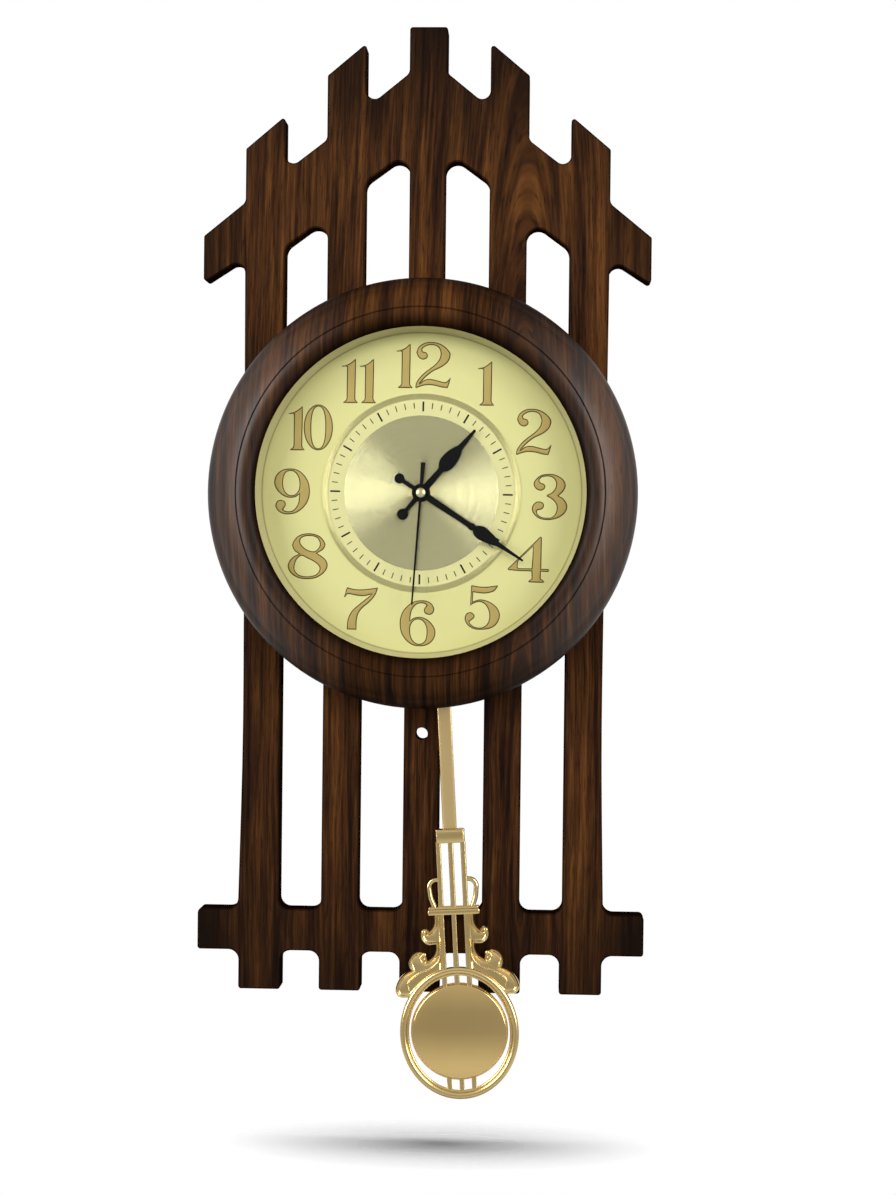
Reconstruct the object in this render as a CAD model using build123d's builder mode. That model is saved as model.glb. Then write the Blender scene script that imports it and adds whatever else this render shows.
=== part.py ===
"""Pendulum wall clock: openwork walnut board, round walnut case, quartz movement, lyre pendulum.

Units are millimetres. +Z is up, the clock faces -Y and its back lies on the wall plane y = 0.
The origin is the centre of the keyhole in the hanger plate.
"""
import math
import os

from build123d import *

os.makedirs("parts", exist_ok=True)

# Overall placing: the dial axis lies below the hanger, depths are counted from the wall.
HANGER_ABOVE_DIAL = 222.0
DIAL_Z = -HANGER_ABOVE_DIAL
BOARD_THICK = 15.0

# Board outline, half widths from the centre line and heights from the dial centre.
TAB_HALF = 11.4
TAB_TOP = 280.0
TAB_FOOT = 252.5
INNER_IN = 37.2
INNER_OUT = 60.6
INNER_VALLEY = 231.6
INNER_TIP = 270.6
INNER_CORNER = 251.0
INNER_FOOT = 212.6
OUTER_IN = 85.8
OUTER_OUT = 109.4
OUTER_VALLEY = 193.3
OUTER_TIP = 227.0
OUTER_CORNER = 207.0
OUTER_FOOT = 175.0
ARM_REACH = 25.0
ARM_SLOPE = 0.816
ARM_PIT = 142.4
ARM_UNDER_SLOPE = 0.648
ARM_HALF = OUTER_OUT + ARM_REACH
ARM_TOP = OUTER_FOOT - ARM_REACH * ARM_SLOPE
ARM_LOW = ARM_PIT - ARM_REACH * ARM_UNDER_SLOPE
WAIST_HALF = 107.8
WAIST_Z = -150.0
HIP_HALF = 110.0
BAR_TOP = -250.6
BAR_LOW = -275.4
LEG_LOW = -299.0
LEG_OUT = 109.4
LEG_IN = 84.0
LEG2_OUT = 60.6
LEG2_IN = 35.6
LEG3_HALF = 12.0
ROUND_TIP = 1.6
ROUND_CORNER = 1.8
ROUND_VALLEY = 5.0
ROUND_ARM = 5.5
ROUND_SHOULDER = 3.0
ROUND_BAR = 6.3
ROUND_WAIST = 3000.0
EDGE_BREAK = 0.9

# Slots between the five slats.
SLOT1_IN = 10.7
SLOT1_OUT = 37.3
SLOT1_TOP_IN = 206.4
SLOT1_TOP_OUT = 187.0
SLOT2_IN = 59.7
SLOT2_OUT = 85.4
SLOT2_TOP_IN = 166.6
SLOT2_TOP_OUT = 147.8
SLOT_LOW = -250.4
SLOT_ROUND_TOP = 7.0
SLOT_ROUND_SIDE = 8.0
SLOT_ROUND_LOW = 6.3
WINDOW_R = 75.0
SCREW_HOLE_Z = -143.5
SCREW_HOLE_R = 3.7

# Hanger plate let into the back.
PLATE_W = 40.0
PLATE_H = 22.0
PLATE_T = 1.5
PLATE_UP = 2.0
KEY_R = 4.5
KEY_SLOT_W = 4.4
KEY_SLOT_UP = 8.5
HEAD_POCKET_W = 15.0
HEAD_POCKET_H = 17.0
HEAD_POCKET_D = 8.0
HANGER_SCREW_X = 15.5

# Front to back stack inside the case, from the wall to the glass.
SWING_SPACE = 8.0
MOVEMENT_DEEP = 16.0
WASHER_T = 1.0
BACKING_T = 3.0
DIAL_T = 1.0
HAND_T = 0.6
HOUR_HAND_UP = 2.8
MINUTE_HAND_UP = 1.8
SECOND_HAND_UP = 2.0
GLASS_UP = 3.4
GLASS_T = 2.0
MOVEMENT_REAR = BOARD_THICK + SWING_SPACE
MOVEMENT_FRONT = MOVEMENT_REAR + MOVEMENT_DEEP
BACKING_REAR = MOVEMENT_FRONT + WASHER_T
DIAL_REAR = BACKING_REAR + BACKING_T
DIAL_FRONT = DIAL_REAR + DIAL_T
HOUR_HAND_D = DIAL_FRONT + HOUR_HAND_UP
MINUTE_HAND_D = HOUR_HAND_D + MINUTE_HAND_UP
SECOND_HAND_D = MINUTE_HAND_D + SECOND_HAND_UP
GLASS_REAR = SECOND_HAND_D + GLASS_UP
GLASS_FRONT = GLASS_REAR + GLASS_T

# Turned case ring, radii and depths.
CASE_R = 127.0
CASE_WALL = 18.0
SEAT_LEDGE = 8.5
CASE_SIDE = 23.0
EDGE_ROLL = 5.5
EDGE_ROLL_D = 9.5
EDGE_BULGE = 1.2
BAND_BULGE = 1.3
LIP_OVER_GLASS = 3.7
LIP_RISE = 2.6
LIP_BULGE = 2.5
INNER_BAND = 10.8
GROOVE_HALF = 0.7
GROOVE_RISE = 5.0
GROOVE_DEEP = 1.3
GROOVE_LIFT = 0.4
GLASS_PLAY = 0.3
BACKING_PLAY = 0.4
LAND_INSET = 11.0
NOTCH_W = 46.0
NOTCH_D = 9.0
LAND_R = CASE_R - LAND_INSET
REAR_R = CASE_R - CASE_WALL
BACKING_R = REAR_R - BACKING_PLAY
SEAT_R = REAR_R - SEAT_LEDGE
GLASS_R = SEAT_R - GLASS_PLAY
CASE_SIDE_D = BOARD_THICK + CASE_SIDE
SHOULDER_R = CASE_R - EDGE_ROLL
SHOULDER_D = CASE_SIDE_D + EDGE_ROLL_D
LIP_R = GLASS_R - LIP_OVER_GLASS
LIP_FRONT_D = GLASS_FRONT + LIP_RISE
GROOVE_R = LIP_R + INNER_BAND
GROOVE_EDGE_D = GLASS_FRONT + GROOVE_RISE

# Dial furniture.
SPACER_TOP_R = LIP_R + 0.5
SPACER_FOOT_R = SPACER_TOP_R - 2.8
DISC_R = 45.4
DISC_T = 0.5
CHAPTER_T = 0.4
BEAD_IN_R = 54.7
BEAD_OUT_R = 58.3
BEAD_RISE = 0.9

# Movement case.
MOVE_HALF_W = 29.0
MOVE_TOP = 41.5
MOVE_LOW = -46.0
MOVE_WALL = 1.5
COVER_T = 2.0
BAY_LOW = 23.4
BAY_TOP = 38.8
BAY_HALF = 26.4
BAY_WALL = 0.9
BUSH_R = 4.0
BUSH_UP = 2.4
BUSH_FRONT = DIAL_FRONT + BUSH_UP
FIT = 0.05

# Wheel train: tooth counts, centre distances and the planes of the six layers.
TOOTH_TOP = 0.75
TOOTH_ROOT = 1.15
TOOTH_SHARE = 0.40
TOOTH_TIP = 0.45
TOOTH_FOOT = 1.3
WHEEL_T = 1.2
LAYER = 1.9
FRONT_ROOM = 3.4
LAYER_HOUR = MOVEMENT_FRONT - FRONT_ROOM
LAYER_CANNON = LAYER_HOUR - LAYER
LAYER_CENTRE = LAYER_CANNON - LAYER
LAYER_THIRD = LAYER_CENTRE - LAYER
LAYER_SECONDS = LAYER_THIRD - LAYER
LAYER_INTER = LAYER_SECONDS - LAYER
PINION = 6
CENTRE_TEETH = 48
THIRD_TEETH = 45
SECONDS_TEETH = 30
INTER_TEETH = 36
CANNON_TEETH = 8
MINUTE_TEETH = 24
HOUR_TEETH = 32
THIRD_DIST = 12.15
INTER_DIST = 12.6
ROTOR_DIST = 10.5
MINUTE_DIST = 13.0
THIRD_DIR = 20.0
INTER_DIR = 250.0
ROTOR_DIR = -20.0
MINUTE_DIR = 170.0
ARBOR_R = 0.6
PIVOT_IN = 1.2
PIVOT_OUT = 0.7
PIVOT_REAR = MOVEMENT_REAR + PIVOT_IN
PIVOT_FRONT = MOVEMENT_FRONT - PIVOT_OUT
SECONDS_R = 0.5
MINUTE_PIPE_R = 1.6
HOUR_PIPE_R = 2.5
SET_ARBOR_R = 1.0

# Time shown, degrees clockwise from twelve.
HOUR_ANGLE = 40.3
MINUTE_ANGLE = 123.1
SECOND_ANGLE = 184.0

# Pendulum, lengths measured down from the pivot.
PIVOT_X = 5.2
PIVOT_UP = 16.0
SWING = 3.35
LYRE_BEHIND = 3.0
LYRE_T = 5.0
LEVER_T = 3.0
MAGNET_L = 52.6
HOOK_L = 66.0
ROD_W = 8.4
ROD_T = 1.2
ROD_ENTRY = 5.5
CAP_TOP_L = 215.9
CAP_H = 8.6
CAP_HALF = 8.8
CAP_ROUND = 1.4
WIRE_RUN = 37.7
WIRE_PITCH = 7.4
WIRE_R = 1.4
CROSS_H = 5.4
CROSS_HALF = 15.8
CROSS_ROUND = 1.6
NECK = 31.0
OVAL_X = 35.7
OVAL_Y = 39.8
OVAL_BAND = 5.5
BOB_ABOVE = 0.6
BOB_R = 28.4
LYRE_REAR = BOARD_THICK + LYRE_BEHIND
LYRE_FRONT = LYRE_REAR + LYRE_T
LYRE_MID = LYRE_REAR + LYRE_T / 2
LEVER_REAR = LYRE_REAR + 1.0
ROD_REAR = LYRE_REAR + 2.0
CAP_LOW_L = CAP_TOP_L + CAP_H
CROSS_TOP_L = CAP_LOW_L + WIRE_RUN
CROSS_LOW_L = CROSS_TOP_L + CROSS_H
OVAL_TOP_L = CROSS_LOW_L + NECK
OVAL_L = OVAL_TOP_L + OVAL_Y
BOB_L = OVAL_L - BOB_ABOVE


def front(depth, x=0.0, z=0.0):
    """Plane facing the viewer, depth in front of the wall, set from the dial centre."""
    return Plane(origin=(x, -depth, DIAL_Z + z), x_dir=(1, 0, 0), z_dir=(0, -1, 0))


def swung(depth):
    """Plane of the swung pendulum with its origin at the pivot and local y up the rod."""
    lean = math.radians(SWING)
    return Plane(
        origin=(PIVOT_X, -depth, DIAL_Z + PIVOT_UP),
        x_dir=(math.cos(lean), 0, math.sin(lean)),
        z_dir=(0, -1, 0),
    )


def hand_plane(depth, angle):
    """Plane whose local y points along a hand set at a clockwise angle."""
    turn = math.radians(angle)
    return Plane(
        origin=(0, -depth, DIAL_Z),
        x_dir=(math.cos(turn), 0, -math.sin(turn)),
        z_dir=(0, -1, 0),
    )


def polar(dist, angle):
    """Point at a distance and an anticlockwise angle from the dial centre."""
    return (dist * math.cos(math.radians(angle)), dist * math.sin(math.radians(angle)))


def tooth_points(teeth, module, phase):
    """Corner points of a wheel whose first tooth points along phase degrees."""
    pitch_r = teeth * module / 2
    tip_r = pitch_r + TOOTH_TOP * module
    foot_r = pitch_r - TOOTH_ROOT * module
    half = TOOTH_SHARE * math.pi / teeth
    half_tip = half * TOOTH_TIP
    half_foot = min(half * TOOTH_FOOT, 0.92 * math.pi / teeth)
    points = []
    for index in range(teeth):
        angle = math.radians(phase) + 2 * math.pi * index / teeth
        for radius, off in ((foot_r, -half_foot), (tip_r, -half_tip), (tip_r, half_tip), (foot_r, half_foot)):
            points.append((radius * math.cos(angle + off), radius * math.sin(angle + off)))
    return points


def wheel_face(plane, teeth, module, phase):
    """Toothed outline on a plane whose origin is the arbor."""
    with BuildSketch(plane) as face:
        with BuildLine():
            Polyline(*tooth_points(teeth, module, phase), close=True)
        make_face()
    return face.sketch


def pinion_phase(direction):
    """A pinion points one leaf at its wheel."""
    return direction


def wheel_phase(direction, teeth):
    """A wheel turns one gap to its pinion."""
    return direction + 180.0 / teeth


def dome_points(radius, edge, top, steps):
    """Points down a dome whose centre lies on its axis, from the rim to the crown."""
    rise = top - edge
    ball = (radius * radius + rise * rise) / (2 * rise)
    points = []
    for step in range(steps + 1):
        out = radius * (1 - step / steps)
        points.append((out, top - ball + math.sqrt(ball * ball - out * out)))
    return points


def bulge(start, end, rise, steps):
    """Points after start along a bowed line to end, standing rise to its left at the middle."""
    run_x = end[0] - start[0]
    run_y = end[1] - start[1]
    span = math.hypot(run_x, run_y)
    points = []
    for step in range(1, steps + 1):
        along = step / steps
        out = 4 * rise * along * (1 - along) / span
        points.append((start[0] + run_x * along - run_y * out, start[1] + run_y * along + run_x * out))
    return points


def over_cross(out, rise):
    """Point on the pendulum above the lyre's crossbar."""
    return (out, rise - CROSS_TOP_L)


def under_cross(out, drop):
    """Point on the pendulum below the lyre's crossbar."""
    return (out, -CROSS_LOW_L - drop)


def over_oval(out, rise):
    """Point on the pendulum counted from the top of the oval ring."""
    return (out, rise - OVAL_TOP_L)


def save(builder, name):
    """Label the finished piece and write it."""
    builder.part.label = name
    export_step(builder.part, f"parts/{name}.step")


THIRD_XZ = polar(THIRD_DIST, THIRD_DIR)
INTER_XZ = polar(INTER_DIST, INTER_DIR)
ROTOR_STEP = polar(ROTOR_DIST, ROTOR_DIR)
ROTOR_XZ = (INTER_XZ[0] + ROTOR_STEP[0], INTER_XZ[1] + ROTOR_STEP[1])
MINUTE_XZ = polar(MINUTE_DIST, MINUTE_DIR)
DIAL_AXIS = Axis((0, 0, DIAL_Z), (0, 1, 0))
SECTION = Plane(origin=(0, 0, DIAL_Z), x_dir=(1, 0, 0), z_dir=(0, 0, -1))

# Backboard: pointed slats above, arms at the dial, a bar with five legs below.
OUTLINE = [
    (0, TAB_TOP),
    (TAB_HALF, TAB_TOP),
    (TAB_HALF, TAB_FOOT),
    (INNER_IN, INNER_VALLEY),
    (INNER_IN, INNER_TIP),
    (INNER_OUT, INNER_CORNER),
    (INNER_OUT, INNER_FOOT),
    (OUTER_IN, OUTER_VALLEY),
    (OUTER_IN, OUTER_TIP),
    (OUTER_OUT, OUTER_CORNER),
    (OUTER_OUT, OUTER_FOOT),
    (ARM_HALF, ARM_TOP),
    (ARM_HALF, ARM_LOW),
    (OUTER_OUT, ARM_PIT),
    (WAIST_HALF, WAIST_Z),
    (HIP_HALF, BAR_TOP),
    (ARM_HALF, BAR_TOP),
    (ARM_HALF, BAR_LOW),
    (LEG_OUT, BAR_LOW),
    (LEG_OUT, LEG_LOW),
    (LEG_IN, LEG_LOW),
    (LEG_IN, BAR_LOW),
    (LEG2_OUT, BAR_LOW),
    (LEG2_OUT, LEG_LOW),
    (LEG2_IN, LEG_LOW),
    (LEG2_IN, BAR_LOW),
    (LEG3_HALF, BAR_LOW),
    (LEG3_HALF, LEG_LOW),
    (0, LEG_LOW),
]
OUTLINE_ROUND = [
    ROUND_CORNER,
    ROUND_VALLEY,
    ROUND_VALLEY,
    ROUND_TIP,
    ROUND_CORNER,
    ROUND_VALLEY,
    ROUND_VALLEY,
    ROUND_TIP,
    ROUND_CORNER,
    ROUND_VALLEY,
    ROUND_CORNER,
    ROUND_CORNER,
    ROUND_ARM,
    ROUND_WAIST,
    ROUND_BAR,
    ROUND_SHOULDER,
    ROUND_CORNER,
    ROUND_BAR,
    ROUND_CORNER,
    ROUND_CORNER,
    ROUND_BAR,
    ROUND_BAR,
    ROUND_CORNER,
    ROUND_CORNER,
    ROUND_BAR,
    ROUND_BAR,
    ROUND_CORNER,
]
SLOT_ROUND = [SLOT_ROUND_TOP, SLOT_ROUND_SIDE, SLOT_ROUND_LOW, SLOT_ROUND_LOW]
SLOT1 = [
    (SLOT1_IN, SLOT1_TOP_IN),
    (SLOT1_OUT, SLOT1_TOP_OUT),
    (SLOT1_OUT, SLOT_LOW),
    (SLOT1_IN, SLOT_LOW),
]
SLOT2 = [
    (SLOT2_IN, SLOT2_TOP_IN),
    (SLOT2_OUT, SLOT2_TOP_OUT),
    (SLOT2_OUT, SLOT_LOW),
    (SLOT2_IN, SLOT_LOW),
]
CASE_SCREW_R = 2.0
CASE_SCREW_HEAD_R = 4.0
CASE_SCREW_IN = 16.0
CASE_SCREW_TIP = BOARD_THICK + CASE_SCREW_IN
CASE_SINK = 2.4
CASE_SCREW_SUNK = 0.2
CASE_SCREW_RING = (CASE_R + REAR_R) / 2
OUTER_SLAT_MID = (SLOT2_OUT + OUTER_OUT) / 2
CASE_SCREW_DIR = math.degrees(math.acos(OUTER_SLAT_MID / CASE_SCREW_RING))
CASE_SCREWS = [
    polar(CASE_SCREW_RING, side + turn)
    for side in (0, 180)
    for turn in (-CASE_SCREW_DIR, CASE_SCREW_DIR)
]
HANGER_SCREW_R = 1.5
HANGER_HEAD_R = 2.8
HANGER_SCREW_L = 9.5
HEAD_SUNK = 0.1

with BuildPart() as backboard:
    with BuildSketch(front(0)):
        with BuildLine():
            FilletPolyline(*OUTLINE, radius=OUTLINE_ROUND)
            Line((0, LEG_LOW), (0, TAB_TOP))
        make_face()
        with BuildLine(mode=Mode.PRIVATE) as slot1_line:
            FilletPolyline(*SLOT1, radius=SLOT_ROUND, close=True)
        make_face(slot1_line.edges(), mode=Mode.SUBTRACT)
        with BuildLine(mode=Mode.PRIVATE) as slot2_line:
            FilletPolyline(*SLOT2, radius=SLOT_ROUND, close=True)
        make_face(slot2_line.edges(), mode=Mode.SUBTRACT)
        mirror(about=Plane.YZ)
    extrude(amount=BOARD_THICK)
    front_face = backboard.faces().filter_by(Axis.Y).sort_by(Axis.Y)[0]
    chamfer(front_face.edges(), length=EDGE_BREAK)
    with BuildSketch(front(0)):
        Circle(LAND_R)
    extrude(amount=BOARD_THICK)
    with BuildSketch(front(0)):
        Circle(WINDOW_R)
        with Locations((0, SCREW_HOLE_Z)):
            Circle(SCREW_HOLE_R)
    extrude(amount=BOARD_THICK, mode=Mode.SUBTRACT)
    with BuildSketch(front(0, z=HANGER_ABOVE_DIAL + PLATE_UP)):
        Rectangle(PLATE_W + 2 * FIT, PLATE_H + 2 * FIT)
    extrude(amount=PLATE_T, mode=Mode.SUBTRACT)
    with BuildSketch(front(PLATE_T, z=HANGER_ABOVE_DIAL + PLATE_UP)):
        Rectangle(HEAD_POCKET_W, HEAD_POCKET_H)
    extrude(amount=HEAD_POCKET_D, mode=Mode.SUBTRACT)
    with BuildSketch(front(0, z=HANGER_ABOVE_DIAL)):
        with Locations((HANGER_SCREW_X, 0), (-HANGER_SCREW_X, 0)):
            Circle(HANGER_SCREW_R + FIT)
    extrude(amount=PLATE_T + HANGER_SCREW_L + 0.2, mode=Mode.SUBTRACT)
    with BuildSketch(front(0)):
        with Locations(*CASE_SCREWS):
            Circle(CASE_SCREW_R + FIT)
    extrude(amount=BOARD_THICK, mode=Mode.SUBTRACT)
    with BuildSketch(front(0)):
        with Locations(*CASE_SCREWS):
            Circle(CASE_SCREW_HEAD_R + FIT)
    extrude(amount=CASE_SINK + FIT, mode=Mode.SUBTRACT)
save(backboard, "backboard")

# Keyhole hanger plate and its two screws.
with BuildPart() as hanger_plate:
    with BuildSketch(front(0, z=HANGER_ABOVE_DIAL)):
        with Locations((0, PLATE_UP)):
            RectangleRounded(PLATE_W, PLATE_H, 1.5)
        Circle(KEY_R, mode=Mode.SUBTRACT)
        with Locations((0, KEY_SLOT_UP / 2)):
            Rectangle(KEY_SLOT_W, KEY_SLOT_UP, mode=Mode.SUBTRACT)
        with Locations((0, KEY_SLOT_UP)):
            Circle(KEY_SLOT_W / 2, mode=Mode.SUBTRACT)
        with Locations((HANGER_SCREW_X, 0), (-HANGER_SCREW_X, 0)):
            Circle(HANGER_HEAD_R + FIT, mode=Mode.SUBTRACT)
    extrude(amount=PLATE_T)
save(hanger_plate, "hanger_plate")

with BuildPart() as hanger_screws:
    with BuildSketch(front(HEAD_SUNK, z=HANGER_ABOVE_DIAL)):
        with Locations((HANGER_SCREW_X, 0), (-HANGER_SCREW_X, 0)):
            Circle(HANGER_HEAD_R)
    extrude(amount=PLATE_T - HEAD_SUNK)
    with BuildSketch(front(PLATE_T, z=HANGER_ABOVE_DIAL)):
        with Locations((HANGER_SCREW_X, 0), (-HANGER_SCREW_X, 0)):
            Circle(HANGER_SCREW_R)
    extrude(amount=HANGER_SCREW_L)
save(hanger_screws, "hanger_screws")

# Case ring turned from wood, with a cut-out at the bottom for the pendulum rod.
BACKING_SCREW_RING = (SEAT_R + REAR_R) / 2
BACKING_SCREW_R = 1.2
BACKING_HEAD_R = 2.6
BACKING_HEAD_T = 1.8
BACKING_SCREW_IN = 7.0
BACKING_SCREWS = [polar(BACKING_SCREW_RING, 45 + 90 * k) for k in range(4)]
EDGE_START = (CASE_R, CASE_SIDE_D)
SHOULDER = (SHOULDER_R, SHOULDER_D)
GROOVE_OUT = (GROOVE_R + GROOVE_HALF, GROOVE_EDGE_D)
GROOVE_IN = (GROOVE_R - GROOVE_HALF, GROOVE_EDGE_D + GROOVE_LIFT)
LIP = (LIP_R, LIP_FRONT_D)
with BuildPart() as case_ring:
    with BuildSketch(SECTION):
        with BuildLine():
            Polyline(
                (CASE_R, BOARD_THICK),
                EDGE_START,
                *bulge(EDGE_START, SHOULDER, -EDGE_BULGE, 3),
                *bulge(SHOULDER, GROOVE_OUT, -BAND_BULGE, 4),
                (GROOVE_R, GROOVE_EDGE_D - GROOVE_DEEP),
                GROOVE_IN,
                *bulge(GROOVE_IN, LIP, -LIP_BULGE, 4),
                (LIP_R, GLASS_FRONT),
                (SEAT_R, GLASS_FRONT),
                (SEAT_R, DIAL_REAR),
                (REAR_R, DIAL_REAR),
                (REAR_R, BOARD_THICK),
                (CASE_R, BOARD_THICK),
            )
        make_face()
    revolve(axis=DIAL_AXIS)
    with BuildSketch(front(BOARD_THICK, x=PIVOT_X, z=-(CASE_R + REAR_R) / 2)):
        Rectangle(NOTCH_W, 2 * (CASE_R - REAR_R))
    extrude(amount=NOTCH_D, mode=Mode.SUBTRACT)
    with BuildSketch(front(BOARD_THICK)):
        with Locations(*CASE_SCREWS):
            Circle(CASE_SCREW_R + FIT)
    extrude(amount=CASE_SCREW_TIP + 0.4 - BOARD_THICK, mode=Mode.SUBTRACT)
    with BuildSketch(front(DIAL_REAR)):
        with Locations(*BACKING_SCREWS):
            Circle(BACKING_SCREW_R + FIT)
    extrude(amount=BACKING_SCREW_IN + 0.4, mode=Mode.SUBTRACT)
save(case_ring, "case_ring")

with BuildPart() as case_screws:
    with BuildSketch(front(CASE_SCREW_SUNK)):
        with Locations(*CASE_SCREWS):
            Circle(CASE_SCREW_HEAD_R)
    extrude(amount=CASE_SINK - CASE_SCREW_SUNK)
    with BuildSketch(front(CASE_SINK)):
        with Locations(*CASE_SCREWS):
            Circle(CASE_SCREW_R)
    extrude(amount=CASE_SCREW_TIP - CASE_SINK)
save(case_screws, "case_screws")

# Glass, spacer ring, dial, centre disc, chapter ring and backing board.
with BuildPart() as glass_lens:
    with BuildSketch(front(GLASS_REAR)):
        Circle(GLASS_R)
    extrude(amount=GLASS_T)
save(glass_lens, "glass_lens")

with BuildPart() as spacer_ring:
    with BuildSketch(SECTION):
        with BuildLine():
            Polyline(
                (SPACER_FOOT_R, DIAL_FRONT),
                (GLASS_R, DIAL_FRONT),
                (GLASS_R, GLASS_REAR),
                (SPACER_TOP_R, GLASS_REAR),
                close=True,
            )
        make_face()
    revolve(axis=DIAL_AXIS)
save(spacer_ring, "spacer_ring")

with BuildPart() as dial_plate:
    with BuildSketch(front(DIAL_REAR)):
        Circle(GLASS_R)
        Circle(BUSH_R + FIT, mode=Mode.SUBTRACT)
    extrude(amount=DIAL_T)
save(dial_plate, "dial_plate")

with BuildPart() as dial_centre_disc:
    with BuildSketch(front(DIAL_FRONT)):
        Circle(DISC_R)
        Circle(BUSH_R + FIT, mode=Mode.SUBTRACT)
    extrude(amount=DISC_T)
save(dial_centre_disc, "dial_centre_disc")

with BuildPart() as chapter_ring:
    with BuildSketch(SECTION):
        with BuildLine():
            Polyline(
                (DISC_R + FIT, DIAL_FRONT),
                (DISC_R + FIT, DIAL_FRONT + CHAPTER_T),
                (BEAD_IN_R, DIAL_FRONT + CHAPTER_T),
                (BEAD_IN_R + 1.0, DIAL_FRONT + CHAPTER_T + BEAD_RISE),
                (BEAD_OUT_R - 1.0, DIAL_FRONT + CHAPTER_T + BEAD_RISE),
                (BEAD_OUT_R, DIAL_FRONT + CHAPTER_T),
                (BEAD_OUT_R, DIAL_FRONT),
                close=True,
            )
        make_face()
    revolve(axis=DIAL_AXIS)
save(chapter_ring, "chapter_ring")

with BuildPart() as dial_backing:
    with BuildSketch(front(BACKING_REAR)):
        Circle(BACKING_R)
        Circle(BUSH_R + FIT, mode=Mode.SUBTRACT)
        with Locations(*BACKING_SCREWS):
            Circle(BACKING_SCREW_R + FIT, mode=Mode.SUBTRACT)
    extrude(amount=BACKING_T)
save(dial_backing, "dial_backing")

with BuildPart() as backing_screws:
    with BuildSketch(front(BACKING_REAR - BACKING_HEAD_T)):
        with Locations(*BACKING_SCREWS):
            Circle(BACKING_HEAD_R)
    extrude(amount=BACKING_HEAD_T)
    with BuildSketch(front(BACKING_REAR)):
        with Locations(*BACKING_SCREWS):
            Circle(BACKING_SCREW_R)
    extrude(amount=BACKING_T + BACKING_SCREW_IN)
save(backing_screws, "backing_screws")

# Movement front case with the threaded bush that carries the hands through the dial.
ARBOR_SPOTS = [THIRD_XZ, INTER_XZ, ROTOR_XZ]
MOVE_MID = (MOVE_TOP + MOVE_LOW) / 2
MOVE_H = MOVE_TOP - MOVE_LOW
CASE_REAR = MOVEMENT_REAR + COVER_T
FLOOR_REAR = MOVEMENT_FRONT - MOVE_WALL
PCB_XZ = (-17.0, -31.0)
PCB_T = 0.8
PCB_REAR = MOVEMENT_FRONT - 3.2
with BuildPart() as movement_case:
    with BuildSketch(front(CASE_REAR, z=MOVE_MID)):
        RectangleRounded(2 * MOVE_HALF_W, MOVE_H, 3.0)
    extrude(amount=MOVEMENT_FRONT - CASE_REAR)
    with BuildSketch(front(CASE_REAR, z=MOVE_MID)):
        RectangleRounded(2 * (MOVE_HALF_W - MOVE_WALL), MOVE_H - 2 * MOVE_WALL, 0.5)
    extrude(amount=FLOOR_REAR - CASE_REAR, mode=Mode.SUBTRACT)
    with BuildSketch(front(MOVEMENT_FRONT)):
        Circle(BUSH_R)
    extrude(amount=BUSH_FRONT - MOVEMENT_FRONT)
    with BuildSketch(front(PCB_REAR + PCB_T)):
        with Locations((PCB_XZ[0] - 6, PCB_XZ[1]), (PCB_XZ[0] + 6, PCB_XZ[1])):
            Circle(1.5)
    extrude(amount=FLOOR_REAR - PCB_REAR - PCB_T)
    with BuildSketch(front(FLOOR_REAR)):
        Circle(HOUR_PIPE_R + FIT)
    extrude(amount=BUSH_FRONT - FLOOR_REAR, mode=Mode.SUBTRACT)
    with BuildSketch(front(FLOOR_REAR)):
        with Locations(*ARBOR_SPOTS):
            Circle(ARBOR_R + FIT)
        with Locations(MINUTE_XZ):
            Circle(SET_ARBOR_R + FIT)
    extrude(amount=PIVOT_FRONT - FLOOR_REAR + 0.2, mode=Mode.SUBTRACT)
save(movement_case, "movement_case")

# Rear cover with the battery bay, the pendulum pivot seat and the knob hole.
BAY_MID = (BAY_LOW + BAY_TOP) / 2
PIN_R = 1.5
with BuildPart() as movement_cover:
    with BuildSketch(front(MOVEMENT_REAR, z=MOVE_MID)):
        RectangleRounded(2 * MOVE_HALF_W, MOVE_H, 3.0)
    extrude(amount=COVER_T)
    with BuildSketch(front(CASE_REAR, z=BAY_MID)):
        Rectangle(2 * (BAY_HALF + BAY_WALL), BAY_TOP - BAY_LOW + 2 * BAY_WALL)
    extrude(amount=FLOOR_REAR - CASE_REAR - 0.1)
    with BuildSketch(front(MOVEMENT_REAR, z=BAY_MID)):
        Rectangle(2 * BAY_HALF, BAY_TOP - BAY_LOW)
    extrude(amount=MOVEMENT_FRONT - MOVEMENT_REAR, mode=Mode.SUBTRACT)
    with BuildSketch(front(MOVEMENT_REAR)):
        with Locations(MINUTE_XZ):
            Circle(SET_ARBOR_R + FIT)
        with Locations((PIVOT_X, PIVOT_UP)):
            Circle(PIN_R + FIT)
    extrude(amount=COVER_T, mode=Mode.SUBTRACT)
    with BuildSketch(front(PIVOT_REAR - 0.2)):
        with Locations(*ARBOR_SPOTS):
            Circle(ARBOR_R + FIT)
        Circle(SECONDS_R + FIT)
    extrude(amount=CASE_REAR - PIVOT_REAR + 0.2, mode=Mode.SUBTRACT)
save(movement_cover, "movement_cover")

with BuildPart() as rubber_washer:
    with BuildSketch(front(MOVEMENT_FRONT)):
        Circle(13.0)
        Circle(BUSH_R + FIT, mode=Mode.SUBTRACT)
    extrude(amount=WASHER_T)
save(rubber_washer, "rubber_washer")

NUT_R = 5.3
with BuildPart() as bush_nut:
    with BuildSketch(front(DIAL_FRONT + DISC_T)):
        Circle(NUT_R)
        Circle(BUSH_R + FIT, mode=Mode.SUBTRACT)
        with Locations((0, NUT_R), (0, -NUT_R)):
            Rectangle(1.2, 1.6, mode=Mode.SUBTRACT)
    extrude(amount=1.8)
save(bush_nut, "bush_nut")

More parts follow.
